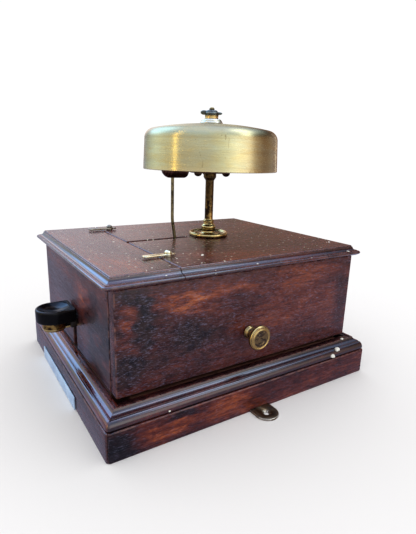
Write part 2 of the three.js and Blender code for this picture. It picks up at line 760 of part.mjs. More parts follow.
function makeTerminals() {
  const { y, spacing, count, blockHeight } = TERMINALS;
  const span = ((count - 1) * spacing) / 2;
  const blockTop = FLOOR + blockHeight;
  addPiece("terminal_block", box(-span - 16, span + 16, y - 10, y + 10, FLOOR, blockTop), EBONITE);
  for (let i = 0; i < count; i++) {
    const foot = blockTop + GAP;
    const terminal = [
      [0, foot],
      [6, foot],
      [6, foot + 2],
      [4, foot + 3],
      [4, foot + 12],
      [3, foot + 13],
      [3, foot + 14],
      [6.4, foot + 15],
      [6.4, foot + 19],
      [2.4, foot + 20.4],
      [2.4, foot + 24],
      [0, foot + 24.6],
    ];
    addPiece(`terminal_${i + 1}`, turned(terminal, i * spacing - span, y, 18), OLD_BRASS);
  }
}

makePlinth();
makeWalls();
makeLid();
makeAccessPanel();
makeLatches();
makeLugs();
makeLabel();
const { crown, underCrown } = makeGong();
makePillar(underCrown);
makeSeat();
makeTopHardware(crown);
makeMagnet();
makeHammer();
makeTapper();
makeTerminals();

export default part;
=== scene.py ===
"""Single-stroke signalling bell with a tapper key, in a mahogany case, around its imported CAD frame."""

import math

import bmesh
import bpy
from mathutils import Matrix, Vector


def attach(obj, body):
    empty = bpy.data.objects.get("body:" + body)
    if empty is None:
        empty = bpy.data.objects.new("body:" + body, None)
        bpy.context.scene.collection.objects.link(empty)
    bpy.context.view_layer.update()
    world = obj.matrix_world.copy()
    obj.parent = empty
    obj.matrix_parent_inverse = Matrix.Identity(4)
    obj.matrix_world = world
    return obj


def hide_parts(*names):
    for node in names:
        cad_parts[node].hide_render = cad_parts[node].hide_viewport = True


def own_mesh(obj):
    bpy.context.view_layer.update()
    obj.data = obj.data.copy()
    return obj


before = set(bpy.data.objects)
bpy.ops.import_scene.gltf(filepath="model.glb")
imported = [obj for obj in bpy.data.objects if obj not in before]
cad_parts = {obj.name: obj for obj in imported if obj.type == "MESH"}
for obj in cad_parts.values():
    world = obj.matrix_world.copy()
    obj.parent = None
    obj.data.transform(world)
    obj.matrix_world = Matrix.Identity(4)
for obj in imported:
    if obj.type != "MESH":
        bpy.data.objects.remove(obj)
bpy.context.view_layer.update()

MM = 0.001
GAP = 0.3
HAIR = 0.06  # joints that show only as a line

# ---------- sizes, in millimetres, as in the CAD ----------

PLINTH_X, PLINTH_Y, PLINTH_H, FASCIA = 130.0, 150.0, 26.5, 14.0
CASE_X, CASE_Y, WALL = 111.3, 134.3, 12.0
CASE_BOTTOM, CASE_TOP = 41.0, 132.7
LID_X, LID_Y, LID_TOP = 116.15, 143.7, 143.0
JOINT_Y, JOINT_GAP = -75.5, 0.35
SLOT_X0, SLOT_X1, SLOT_END = -10.0, -3.6, -3.0
DOOR_X = CASE_X - WALL - GAP
BELL = (-6.5, 24.6)
STUD = 3.0
TAPPER_X = -2.7
KNOB_Y = -153.9
ANVIL_Y = -114.0
LATCH_Y = -67.0
LATCHES = {"right": 69.0, "left": -82.0}


# ---------- node graphs ----------


class Graph:
    """A short way to write a material's nodes. Values may be numbers, colours or other nodes' sockets."""

    def __init__(self, name):
        self.material = bpy.data.materials.new(name)
        self.material.use_nodes = True
        self.tree = self.material.node_tree
        self.tree.nodes.clear()
        self.shader = self.tree.nodes.new("ShaderNodeBsdfPrincipled")
        output = self.tree.nodes.new("ShaderNodeOutputMaterial")
        self.tree.links.new(self.shader.outputs[0], output.inputs[0])
        self.place = self.new("ShaderNodeTexCoord").outputs["Object"]

    def new(self, kind, **inputs):
        node = self.tree.nodes.new(kind)
        for key, value in inputs.items():
            self.put(node.inputs[key.replace("_", " ")], value)
        return node

    def put(self, socket, value):
        if isinstance(value, bpy.types.NodeSocket):
            self.tree.links.new(value, socket)
        elif isinstance(value, (tuple, list)) and len(value) == 3 and socket.type == "RGBA":
            socket.default_value = (*value, 1.0)
        else:
            socket.default_value = value

    def set(self, **inputs):
        for key, value in inputs.items():
            self.put(self.shader.inputs[key.replace("_", " ")], value)

    def math(self, kind, *values):
        node = self.new("ShaderNodeMath")
        node.operation = kind
        for socket, value in zip(node.inputs, values):
            self.put(socket, value)
        return node.outputs[0]

    def plus(self, a, b):
        return self.math("ADD", a, b)

    def minus(self, a, b):
        return self.math("SUBTRACT", a, b)

    def times(self, a, b):
        return self.math("MULTIPLY", a, b)

    def vector(self, kind, a, b=(0.0, 0.0, 0.0)):
        node = self.new("ShaderNodeVectorMath")
        node.operation = kind
        self.put(node.inputs[0], a)
        self.put(node.inputs[1], b)
        return node.outputs["Value" if kind in ("LENGTH", "DOT_PRODUCT") else "Vector"]

    def stretch(self, scale, place=None):
        return self.vector("MULTIPLY", place or self.place, scale)

    def noise(self, vector, scale, detail=4.0, roughness=0.55, distortion=0.0):
        node = self.new(
            "ShaderNodeTexNoise",
            Vector=vector, Scale=scale, Detail=detail, Roughness=roughness, Distortion=distortion,
        )
        return node.outputs["Fac"]

    def ramp(self, value, stops):
        node = self.new("ShaderNodeValToRGB", Fac=value)
        ramp = node.color_ramp
        while len(ramp.elements) < len(stops):
            ramp.elements.new(0.5)
        for element, (position, colour) in zip(ramp.elements, stops):
            element.position = position
            element.color = (*colour, 1.0)
        return node.outputs["Color"]

    def span(self, value, low, high, out_low=0.0, out_high=1.0):
        node = self.new("ShaderNodeMapRange")
        node.interpolation_type = "SMOOTHSTEP"
        for socket, number in zip(node.inputs, (value, low, high, out_low, out_high)):
            self.put(socket, number)
        return node.outputs["Result"]

    def mix(self, fac, a, b):
        node = self.new("ShaderNodeMix")
        node.data_type = "RGBA"
        self.put(node.inputs["Factor"], fac)
        colours = [s for s in node.inputs if s.type == "RGBA"]
        self.put(colours[0], a)
        self.put(colours[1], b)
        return [s for s in node.outputs if s.type == "RGBA"][0]

    def attribute(self, name):
        node = self.new("ShaderNodeAttribute")
        node.attribute_name = name
        return node.outputs["Fac"]

    def bump(self, height, strength, distance):
        node = self.new("ShaderNodeBump", Strength=strength, Distance=distance, Height=height)
        return node.outputs["Normal"]

    def parts(self, vector):
        return self.new("ShaderNodeSeparateXYZ", Vector=vector).outputs

    def join(self, x, y, z):
        return self.new("ShaderNodeCombineXYZ", X=x, Y=y, Z=z).outputs[0]

    def blob(self, centre, radii, warp):
        """1 in the middle of a soft patch, 0 outside it. Centre and radii are in millimetres."""
        moved = self.vector("SUBTRACT", warp, tuple(c * MM for c in centre))
        scaled = self.vector("MULTIPLY", moved, tuple(1 / (r * MM) for r in radii))
        return self.span(self.vector("LENGTH", scaled), 1.0, 0.25)


# ---------- materials ----------

WOOD_RAMP = [
    (0.0, (0.003, 0.003, 0.005)),
    (0.24, (0.012, 0.005, 0.007)),
    (0.42, (0.038, 0.009, 0.009)),
    (0.56, (0.085, 0.017, 0.012)),
    (0.70, (0.170, 0.038, 0.016)),
    (0.84, (0.320, 0.085, 0.026)),
    (1.0, (0.520, 0.190, 0.070)),
]


def drawn_out(grain, ratio):
    """Scales that draw a pattern out along the grain, to that many times its width."""
    return tuple(1.0 if axis == grain else ratio for axis in "XYZ")


def mahogany(name, grain, seed, patches=(), tone=0.0, specks=0.0, gloss=0.26, painted_glints=0.25, crackle=0.3,
             shine=0.5, coat=0.2, skin=0.55):
    """Varnished mahogany. The grain runs along an axis, and patches are (centre, radii, change of tone)."""
    g = Graph(name)
    moved = g.vector("ADD", g.place, (seed, seed * 0.7, seed * 1.3))
    fibre = g.stretch(drawn_out(grain, 11.0), moved)
    cloud = g.stretch(drawn_out(grain, 2.6), moved)
    clouds = g.noise(cloud, 9.0, 3.0, 0.5, 0.4)
    streaks = g.noise(fibre, 42.0, 7.0, 0.68, 0.5)
    hairs = g.noise(fibre, 170.0, 4.0, 0.6)
    figure = g.noise(cloud, 60.0, 5.0, 0.65, 1.2)
    shake = g.new("ShaderNodeTexNoise", Vector=cloud, Scale=34.0, Detail=4.0)
    offset = g.vector("SUBTRACT", shake.outputs["Color"], (0.5, 0.5, 0.5))
    offset = g.vector("MULTIPLY", offset, (0.034, 0.034, 0.034))
    warp = g.vector("ADD", g.place, offset)

    value = g.math("MULTIPLY_ADD", clouds, 0.85, 0.06 + tone)
    for weight, layer in ((0.62, streaks), (0.42, hairs), (0.30, figure)):
        value = g.plus(value, g.times(g.minus(layer, 0.5), weight))
    for centre, radii, change in patches:
        broken = g.times(g.blob(centre, radii, warp), g.span(figure, 0.22, 0.62, 0.55, 1.1))
        value = g.plus(value, g.times(broken, change))
    colour = g.ramp(value, WOOD_RAMP)

    pores = g.noise(g.stretch(drawn_out(grain, 9.0), moved), 330.0, 3.0, 0.6)
    pores = g.span(pores, 0.60 - 0.05 * crackle, 0.70 - 0.05 * crackle)
    colour = g.mix(g.times(pores, 0.75), colour, (0.010, 0.005, 0.006))
    wear = g.times(g.attribute("wear"), g.span(g.noise(moved, 150.0, 4.0, 0.7), 0.38, 0.58))
    colour = g.mix(g.times(wear, 0.65), colour, (0.235, 0.115, 0.090))
    # Short flecks along the grain: a raised crackle in the varnish, and painted glints of reflected sky, pale
    # lavender, mixed into the colour.
    crackle_and_painted_glint = g.noise(g.stretch(drawn_out(grain, 4.5), moved), 270.0, 4.0, 0.75, 0.4)
    crackle_and_painted_glint = g.times(g.span(crackle_and_painted_glint, 0.50, 0.66), g.span(figure, 0.36, 0.60, 0.25, 1.0))
    colour = g.mix(g.times(crackle_and_painted_glint, painted_glints), colour, (0.210, 0.195, 0.300))
    rough = g.span(streaks, 0.3, 0.7, gloss - 0.05, gloss + 0.12)
    if specks:
        cells = g.new("ShaderNodeTexVoronoi", Scale=105.0, Randomness=1.0)
        cells.voronoi_dimensions = "2D"
        g.put(cells.inputs["Vector"], moved)
        size = g.vector("DOT_PRODUCT", cells.outputs["Color"], (0.6, 0.3, 0.2))
        reach = g.math("MINIMUM", g.span(size, 0.76 - 0.30 * specks, 1.10, 0.0, 0.55), 0.105)
        ragged = g.plus(cells.outputs["Distance"], g.times(hairs, 0.04))
        paint = g.math("LESS_THAN", ragged, reach)
        colour = g.mix(g.times(paint, 0.85), colour, (0.62, 0.58, 0.47))
        rough = g.plus(rough, g.times(paint, 0.35))
    rough = g.plus(rough, g.times(g.plus(wear, pores), 0.10))
    ripple = g.noise(g.stretch(drawn_out(grain, 2.2), moved), 420.0, 3.0, 0.6)
    height = g.minus(g.times(streaks, 0.5), g.times(pores, 0.55))
    height = g.plus(height, g.times(ripple, 0.8))
    height = g.plus(height, g.times(crackle_and_painted_glint, crackle))
    g.set(
        Base_Color=colour, Roughness=rough, Normal=g.bump(height, skin, 0.00022),
        Specular_IOR_Level=shine, Coat_Weight=coat, Coat_Roughness=0.10,
    )
    return g.material


def bare_wood(name, grain, seed):
    """Dark wood under thin, dull stain."""
    g = Graph(name)
    moved = g.vector("ADD", g.place, (seed, seed * 1.7, seed * 0.4))
    streaks = g.noise(g.stretch(drawn_out(grain, 10.0), moved), 60.0, 6.0, 0.65, 0.4)
    clouds = g.noise(moved, 16.0, 3.0, 0.5)
    colour = g.ramp(
        g.plus(g.times(streaks, 0.6), g.times(clouds, 0.4)),
        [(0.25, (0.022, 0.010, 0.007)), (0.5, (0.070, 0.030, 0.018)), (0.8, (0.150, 0.070, 0.040))],
    )
    g.set(
        Base_Color=colour, Roughness=g.span(streaks, 0.3, 0.7, 0.5, 0.75),
        Normal=g.bump(streaks, 0.5, 0.00025), Specular_IOR_Level=0.35,
    )
    return g.material


def old_metal(name, clean, tarnish, amount, rough, scale, rubbed, spots, seed, painted_shade_heights=None):
    """Metal with cloudy patina, small spots and rubbed edges. It can darken from one height to another: painted
    shade, as on the pillar under the gong.
    """
    g = Graph(name)
    moved = g.vector("ADD", g.place, (seed, seed * 0.6, seed * 1.9))
    clouds = g.noise(moved, scale, 6.0, 0.65, 0.8)
    grit = g.noise(moved, scale * 9.0, 4.0, 0.7)
    mask = g.plus(clouds, g.times(g.minus(grit, 0.5), 0.35))
    mask = g.span(mask, 0.70 - 0.4 * amount, 0.92 - 0.4 * amount)
    wear = g.attribute("wear")
    mask = g.times(mask, g.minus(1.0, g.times(wear, 0.85)))
    mask = g.math("MAXIMUM", mask, g.times(wear, -0.50))
    # Above the given heights the metal darkens: painted shade, as under the gong.
    if painted_shade_heights:
        low, high = (z * MM + seed * 1.9 for z in painted_shade_heights)
        painted_shade = g.times(g.span(g.parts(moved)["Z"], low, high), g.span(clouds, 0.30, 0.50, 1.0, 0.75))
        mask = g.math("MAXIMUM", mask, painted_shade)
    colour = g.mix(mask, clean, tarnish)
    pits = g.times(g.span(grit, 0.60, 0.70), spots)
    colour = g.mix(pits, colour, tuple(c * 0.35 for c in tarnish))
    if rubbed:
        colour = g.mix(g.times(wear, g.span(grit, 0.3, 0.55, 0.3, 1.0)), colour, rubbed)
    roughness = g.plus(g.times(mask, 0.16), g.times(grit, 0.14))
    roughness = g.plus(roughness, rough - 0.07)
    g.set(
        Base_Color=colour, Metallic=1.0, Roughness=roughness,
        Normal=g.bump(g.plus(clouds, g.times(grit, 0.6)), 0.35, 0.00016),
    )
    return g.material


def brushed_gong(name):
    """Spun brass: fine rings round the bell's axis, a few scratches and small dark specks."""
    g = Graph(name)
    centred = g.vector("SUBTRACT", g.place, (BELL[0] * MM, BELL[1] * MM, 0.0))
    parts = g.parts(centred)
    radius = g.math("SQRT", g.plus(g.math("POWER", parts["X"], 2.0), g.math("POWER", parts["Y"], 2.0)))
    angle = g.math("ARCTAN2", parts["Y"], parts["X"])
    spun = g.join(g.times(angle, 0.0035), radius, parts["Z"])
    wide = g.join(g.times(angle, 0.02), radius, g.times(parts["Z"], 0.8))
    rings = g.noise(spun, 1500.0, 5.0, 0.75)
    bands = g.noise(spun, 240.0, 4.0, 0.6)
    stain = g.noise(wide, 75.0, 5.0, 0.6, 0.6)
    colour = g.ramp(stain, [
        (0.28, (0.68, 0.50, 0.20)), (0.45, (0.70, 0.59, 0.29)),
        (0.60, (0.66, 0.61, 0.35)), (0.78, (0.70, 0.56, 0.25)),
    ])
    colour = g.mix(g.times(g.span(bands, 0.35, 0.7), 0.35), colour, (0.44, 0.34, 0.16))
    specks = g.span(g.noise(centred, 420.0, 3.0, 0.6), 0.71, 0.76)
    colour = g.mix(g.times(specks, 0.6), colour, (0.20, 0.13, 0.06))
    # The shoulder and cap are darkened: painted shade that dims their reflection.
    painted_dim_crown = g.times(g.span(parts["Z"], 0.244, 0.258), g.span(stain, 0.3, 0.6, 0.45, 0.75))
    colour = g.mix(painted_dim_crown, colour, (0.40, 0.32, 0.17))
    wear = g.attribute("wear")
    colour = g.mix(g.times(wear, 0.5), colour, (0.80, 0.66, 0.36))
    scratch_place = g.vector("MULTIPLY", centred, (1.0, 1.0, 0.16))
    scratches = g.span(g.noise(scratch_place, 300.0, 2.0, 0.4, 2.0), 0.715, 0.73)
    colour = g.mix(g.times(scratches, 0.6), colour, (0.30, 0.21, 0.10))
    rough = g.plus(g.span(rings, 0.3, 0.7, 0.25, 0.34), g.times(specks, 0.2))
    height = g.minus(rings, g.times(scratches, 0.8))
    tangent = g.new("ShaderNodeTangent")
    tangent.direction_type = "RADIAL"
    tangent.axis = "Z"
    g.set(
        Base_Color=colour, Metallic=1.0, Roughness=rough, Anisotropic=0.82, Anisotropic_Rotation=0.25,
        Tangent=tangent.outputs[0], Normal=g.bump(height, 0.05, 0.00005),
    )
    return g.material


def ebonite(name):
    """Polished black ebonite, a little brown where it is worn."""
    g = Graph(name)
    smudge = g.noise(g.place, 90.0, 5.0, 0.6, 0.8)
    fine = g.noise(g.stretch((1.0, 1.0, 4.0)), 900.0, 3.0, 0.6)
    colour = g.mix(smudge, (0.002, 0.002, 0.003), (0.007, 0.006, 0.007))
    colour = g.mix(g.times(g.attribute("wear"), 0.5), colour, (0.050, 0.040, 0.036))
    g.set(
        Base_Color=colour, Roughness=g.span(smudge, 0.3, 0.75, 0.12, 0.28),
        Normal=g.bump(fine, 0.15, 0.00005), Specular_IOR_Level=0.17, Coat_Weight=0.05, Coat_Roughness=0.05,
    )
    return g.material


SILK_PITCH = 0.0011  # metres from one turn of wire to the next


def wound_silk(name):
    """Silk-covered wire in close turns round a vertical coil."""
    g = Graph(name)
    turns = g.math("ABSOLUTE", g.math("SINE", g.times(g.parts(g.place)["Z"], math.pi / SILK_PITCH)))
    thread = g.noise(g.stretch((1.0, 1.0, 0.3)), 2600.0, 3.0, 0.7)
    age = g.noise(g.place, 60.0, 4.0, 0.6)
    colour = g.mix(age, (0.030, 0.090, 0.050), (0.085, 0.170, 0.085))
    # The grooves between turns are darkened: painted shade between the wires.
    colour = g.mix(g.span(turns, 0.0, 0.45, 0.8, 0.0), colour, (0.010, 0.022, 0.014))
    g.set(
        Base_Color=colour, Roughness=g.span(thread, 0.3, 0.7, 0.6, 0.85),
        Sheen_Weight=0.35, Sheen_Roughness=0.4,
        Normal=g.bump(g.plus(turns, g.times(thread, 0.3)), 0.7, 0.0004),
    )
    return g.material


def dull_plate(name):
    """Pale silver sheet, dulled and lightly scratched; its blue tone is a painted reflection of sky."""
    g = Graph(name)
    clouds = g.noise(g.place, 60.0, 5.0, 0.65, 0.6)
    lines = g.noise(g.stretch((0.12, 1.0, 2.0)), 900.0, 3.0, 0.6)
    # The blue ramp paints the sky the sheet would reflect.
    colour = g.ramp(clouds, [
        (0.3, (0.32, 0.44, 0.60)), (0.55, (0.48, 0.63, 0.80)), (0.8, (0.66, 0.77, 0.90)),
    ])
    spots = g.span(g.noise(g.place, 520.0, 3.0, 0.6), 0.66, 0.74)
    colour = g.mix(g.times(spots, 0.6), colour, (0.13, 0.12, 0.13))
    g.set(
        Base_Color=colour, Metallic=0.10, Roughness=g.span(lines, 0.3, 0.7, 0.30, 0.46),
        Normal=g.bump(g.plus(clouds, lines), 0.4, 0.00012),
    )
    return g.material


def paint_drop(name):
    g = Graph(name)
    grain = g.noise(g.place, 1200.0, 3.0, 0.6)
    colour = g.mix(grain, (0.62, 0.62, 0.54), (0.86, 0.86, 0.80))
    g.set(Base_Color=colour, Roughness=0.55, Normal=g.bump(grain, 0.3, 0.0001))
    return g.material


GOLD = (0.56, 0.34, 0.11)
METALS = {
    # clean colour, tarnish, how much of it, roughness, scale of its clouds, colour of rubbed edges (None for
    # edges that are not rubbed), spots, seed, and the heights between which painted shade darkens it, if it does
    "pale_brass": ((0.78, 0.68, 0.42), (0.26, 0.19, 0.10), 0.35, 0.26, 110, (0.92, 0.88, 0.68), 0.5, 0.0),
    "lacquered_brass": (GOLD, (0.10, 0.055, 0.024), 0.60, 0.30, 95, (0.90, 0.68, 0.30), 0.6, 2.0),
    "lug_brass": ((0.21, 0.13, 0.06), (0.05, 0.034, 0.024), 0.74, 0.36, 70, (0.62, 0.54, 0.40), 0.6, 3.0),
    "interior_brass": (GOLD, (0.22, 0.13, 0.06), 0.40, 0.30, 60, (0.85, 0.66, 0.30), 0.4, 4.0),
    "bracket_brass": ((0.30, 0.20, 0.10), (0.09, 0.06, 0.035), 0.5, 0.42, 60, None, 0.5, 5.0),
    "knob_brass": ((0.44, 0.30, 0.13), (0.09, 0.062, 0.045), 0.74, 0.32, 150, (0.80, 0.55, 0.20), 0.7, 6.0),
    # the pillar darkens towards its top, under the gong: painted shade
    "pillar_brass": (
        (0.42, 0.26, 0.09), (0.030, 0.018, 0.012), 0.74, 0.22, 105, (0.82, 0.60, 0.25), 0.7, 7.0, (164, 186),
    ),
    "dark_brass": ((0.16, 0.10, 0.06), (0.028, 0.018, 0.014), 0.7, 0.36, 90, (0.30, 0.20, 0.11), 0.5, 8.0),
    "bright_washer": ((0.60, 0.50, 0.30), (0.24, 0.18, 0.10), 0.34, 0.34, 160, (0.98, 0.94, 0.80), 0.3, 9.0),
    "nut_steel": ((0.085, 0.082, 0.066), (0.026, 0.022, 0.02), 0.5, 0.36, 190, (0.26, 0.27, 0.22), 0.6, 10.0),
    "hammer_brown": ((0.085, 0.04, 0.03), (0.018, 0.01, 0.009), 0.55, 0.34, 120, (0.2, 0.1, 0.07), 0.4, 11.0),
    "rod_metal": ((0.26, 0.21, 0.11), (0.050, 0.036, 0.020), 0.64, 0.34, 60, None, 0.6, 12.0),
    "soft_iron": ((0.34, 0.34, 0.35), (0.12, 0.085, 0.06), 0.40, 0.42, 50, None, 0.5, 13.0),
    "spring_steel": ((0.50, 0.50, 0.50), (0.20, 0.15, 0.10), 0.30, 0.28, 80, None, 0.3, 14.0),
    "tapper_brass": ((0.42, 0.27, 0.09), (0.045, 0.027, 0.016), 0.72, 0.3, 130, (0.9, 0.7, 0.3), 0.8, 15.0),
    # a darker copy of the latch brass: painted shade on the left latch
    "latch_brass_painted_dark": ((0.34, 0.28, 0.20), (0.13, 0.105, 0.08), 0.60, 0.42, 90, (0.46, 0.40, 0.30), 0.5, 16.0),
}
METAL = {name: old_metal(name, *look) for name, look in METALS.items()}

# ---------- shapes ----------


def finish(name, bm, material, body, nodes=(), angle=38.0):
    """Turns a mesh in millimetres into a piece in metres, which rides on a body and stands for CAD nodes."""
    bmesh.ops.recalc_face_normals(bm, faces=bm.faces)
    bmesh.ops.scale(bm, vec=(MM, MM, MM), verts=bm.verts)
    mesh = bpy.data.meshes.new(name)
    bm.to_mesh(mesh)
    bm.free()
    mesh.polygons.foreach_set("use_smooth", [True] * len(mesh.polygons))
    mesh.set_sharp_from_angle(angle=math.radians(angle))
    mesh.materials.append(material)
    piece = bpy.data.objects.new(name, mesh)
    bpy.context.scene.collection.objects.link(piece)
    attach(piece, body)
    if nodes:
        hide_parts(*nodes)
    return piece


def new_mesh():
    bm = bmesh.new()
    return bm, bm.verts.layers.float.new("wear")


def soften(points, radius=0.5, steps=3, closed=False):
    """Rounds the corners of an outline of (a, b[, corner radius]). Returns (a, b, wear)."""
    count = len(points)
    out = []
    for i, point in enumerate(points):
        here = Vector(point[:2])
        if not closed and i in (0, count - 1):
            out.append((here.x, here.y, 0.0))
            continue
        reach = point[2] if len(point) > 2 else radius
        before = Vector(points[i - 1][:2]) - here
        after = Vector(points[(i + 1) % count][:2]) - here
        room = min(reach, before.length * 0.48, after.length * 0.48)
        if room < 0.02:
            out.append((here.x, here.y, 0.0))
            continue
        a = here + before.normalized() * room
        b = here + after.normalized() * room
        for k in range(steps + 1):
            t = k / steps
            spot = a * (1 - t) ** 2 + here * 2 * t * (1 - t) + b * t * t
            out.append((spot.x, spot.y, 4 * t * (1 - t)))
    return out


def arc(centre, radii, start, end, steps):
    """Points along an ellipse, with the angles in degrees."""
    spots = []
    for k in range(steps + 1):
        angle = math.radians(start + (end - start) * k / steps)
        spots.append((centre[0] + radii[0] * math.cos(angle), centre[1] + radii[1] * math.sin(angle), 0.0))
    return spots


def lathe(bm, wear, profile, place, axis="Z", sides=64, closed=False):
    """Adds a turned solid. The profile is (radius, height, wear) along the axis."""
    rings = []
    for radius, height, worn in profile:
        ring = []
        for k in range(1 if radius < 1e-4 else sides):
            angle = 2 * math.pi * k / sides
            u, v = radius * math.cos(angle), radius * math.sin(angle)
            spot = {"Z": (u, v, height), "X": (height, u, v), "Y": (u, height, v)}[axis]
            vert = bm.verts.new(Vector(spot) + Vector(place))
            vert[wear] = worn
            ring.append(vert)
        rings.append(ring)
    pairs = list(zip(rings, rings[1:]))
    if closed:
        pairs.append((rings[-1], rings[0]))
    for low, high in pairs:
        for k in range(sides):
            a, b = low[k % len(low)], low[(k + 1) % len(low)]
            c, d = high[(k + 1) % len(high)], high[k % len(high)]
            corners = list(dict.fromkeys((a, b, c, d)))
            if len(corners) > 2:
                bm.faces.new(corners)


def turned(name, profile, place, material, body, nodes, axis="Z", sides=64, closed=False, angle=38.0):
    bm, wear = new_mesh()
    lathe(bm, wear, profile, place, axis, sides, closed)
    return finish(name, bm, material, body, nodes, angle)


def loops(bm, rings):
    """Joins equal rings of vertices into a skin, with a cap at each end of the stack."""
    for low, high in zip(rings, rings[1:]):
        count = len(low)
        for k in range(count):
            bm.faces.new((low[k], low[(k + 1) % count], high[(k + 1) % count], high[k]))
    bm.faces.new(list(reversed(rings[0])))
    bm.faces.new(rings[-1])


def mitred(name, profile, turn, reach, half, material, node, gap=HAIR):
    """A moulding or board along one side with mitred ends, its outer corners rubbed round.

    The closed outline is (inset, height, wear).
    """
    bm, wear = new_mesh()
    spin = Matrix.Rotation(turn, 3, "Z")
    blunt = 3.0
    nearest = blunt * (1.0 - math.sqrt(0.5))
    near_end = [nearest, blunt * 0.5, blunt * 0.72, blunt]
    middle = [k / 7 for k in range(-6, 7)]
    stations = [(-1, d) for d in near_end] + [(m, None) for m in middle]
    stations += [(1, d) for d in reversed(near_end)]
    rings = []
    for along, distance in stations:
        ring = []
        for inset, height, worn in profile:
            rounding = max(0.0, 1.0 - inset / 8.0)
            span = half - inset - gap
            if distance is None:
                place, shift = along * (span - blunt), 0.0
            else:
                place = along * (span - nearest * rounding - (distance - nearest))
                shift = (blunt - math.sqrt(blunt ** 2 - (blunt - distance) ** 2)) * rounding
            vert = bm.verts.new(spin @ Vector((place, inset + shift - reach, height)))
            vert[wear] = max(worn, 0.45) if distance == nearest else worn
            ring.append(vert)
        rings.append(ring)
    loops(bm, rings)
    return finish(name, bm, material, "case", (node,), 32.0)


def slab(bm, wear, outline, low, high, axis, round_by, segments=3):
    """Adds a board: an outline in a plane, extruded along the axis, with its edges rounded."""
    def spot(u, v, w):
        return {"X": (w, u, v), "Y": (u, w, v), "Z": (u, v, w)}[axis]

    made = [[bm.verts.new(spot(u, v, w)) for u, v, *_ in outline] for w in (low, high)]
    before = set(bm.faces)
    loops(bm, made)
    faces = [f for f in bm.faces if f not in before]
    bmesh.ops.recalc_face_normals(bm, faces=faces)
    edges = {e for f in faces for e in f.edges if e.calc_face_angle(0.0) > 0.5}
    result = bmesh.ops.bevel(
        bm, geom=list(edges), offset=round_by, segments=segments, affect="EDGES", profile=0.5,
    )
    for vert in {v for f in result["faces"] for v in f.verts}:
        normal = vert.normal if vert.normal.length else Vector((0, 0, 1))
        vert[wear] = 1.0 if max(abs(c) for c in normal) < 0.97 else 0.15


def board(name, outline, low, high, axis, material, body, nodes, round_by):
    bm, wear = new_mesh()
    slab(bm, wear, outline, low, high, axis, round_by)
    return finish(name, bm, material, body, nodes)


def rectangle(u0, u1, v0, v1):
    return [(u0, v0), (u1, v0), (u1, v1), (u0, v1)]


def wire(name, path, radius, material, body, nodes, sides):
    """A round wire along a list of points."""
    bm, _ = new_mesh()
    points = [Vector(p) for p in path]
    tangent = (points[1] - points[0]).normalized()
    side = tangent.orthogonal().normalized()
    rings = []
    for i, point in enumerate(points):
        ahead = points[min(i + 1, len(points) - 1)] - points[max(i - 1, 0)]
        turn = tangent.rotation_difference(ahead.normalized())
        side = turn @ side
        tangent = ahead.normalized()
        other = tangent.cross(side)
        ring = []
        for k in range(sides):
            angle = 2 * math.pi * k / sides
            ring.append(bm.verts.new(point + (side * math.cos(angle) + other * math.sin(angle)) * radius))
        rings.append(ring)
    loops(bm, rings)
    return finish(name, bm, material, body, nodes, 60.0)


def carve(piece, cutters):
    """Cuts solids, given as functions that fill a mesh in millimetres, out of a piece."""
    for build in cutters:
        bm, wear = new_mesh()
        build(bm, wear)
        bmesh.ops.recalc_face_normals(bm, faces=bm.faces)
        bmesh.ops.scale(bm, vec=(MM, MM, MM), verts=bm.verts)
        mesh = bpy.data.meshes.new("cutter")
        bm.to_mesh(mesh)
        bm.free()
        cutter = bpy.data.objects.new("cutter", mesh)
        bpy.context.scene.collection.objects.link(cutter)
        modifier = piece.modifiers.new("cut", "BOOLEAN")
        modifier.operation = "DIFFERENCE"
        modifier.solver = "EXACT"
        modifier.object = cutter
        bpy.context.view_layer.update()
        result = bpy.data.meshes.new_from_object(piece.evaluated_get(bpy.context.evaluated_depsgraph_get()))
        piece.modifiers.clear()
        piece.data = result
        bpy.data.objects.remove(cutter)
        bpy.data.meshes.remove(mesh)
    piece.data.set_sharp_from_angle(angle=math.radians(38))


def box_cutter(x0, x1, y0, y1, z0, z1, turn=0.0, about=(0.0, 0.0)):
    def build(bm, wear):
        made = bmesh.ops.create_cube(bm, size=1.0)["verts"]
        spin = Matrix.Rotation(turn, 3, "Z")
        middle = Vector((about[0], about[1], 0.0))
        for vert in made:
            ends = zip(vert.co, ((x0, x1), (y0, y1), (z0, z1)))
            vert.co = spin @ Vector([high if side > 0 else low for side, (low, high) in ends]) + middle

    return build


def lathe_cutter(profile, place, axis="Z", sides=40):
    return lambda bm, wear: lathe(bm, wear, profile, place, axis, sides)


# ---------- the case ----------

fascia_wood = {
    "front": mahogany("mahogany_plinth_front", "X", 1.1, [((95, -150, 12), (40, 10, 16), 0.05)], -0.02),
    "right": mahogany("mahogany_plinth_right", "Y", 2.3, [
        ((130, -94, 12), (10, 38, 12), 0.24), ((130, -140, 12), (12, 26, 30), -0.42),
        ((130, -75, 24), (10, 40, 6), -0.25), ((130, -40, 14), (10, 60, 20), 0.16),
        ((130, 50, 12), (10, 90, 20), 0.14),
    ], painted_glints=0.3, shine=0.3, coat=0.1),
    "rear": mahogany("mahogany_plinth_rear", "X", 3.7),
    "left": mahogany("mahogany_plinth_left", "Y", 4.9),
}
# Each side's moulding has its own tone: painted light and shade, lighter on the front and darkest on the right.
moulding_wood = {
    side: mahogany(
        f"mahogany_moulding_{side}", axis, seed, tone=tone, gloss=0.13, painted_glints=0.1, coat=0.9, skin=0.12,
    )
    for side, axis, seed, tone in (
        ("front", "X", 5.2, 0.08), ("right", "Y", 6.4, -0.20),
        ("rear", "X", 7.7, -0.06), ("left", "Y", 8.1, -0.06),
    )
}
fascia_profile = soften([
    (0.0, 0.0, 0.6), (0.0, PLINTH_H, 1.4), (FASCIA, PLINTH_H, 0.4), (FASCIA, 0.0, 0.4),
], closed=True)


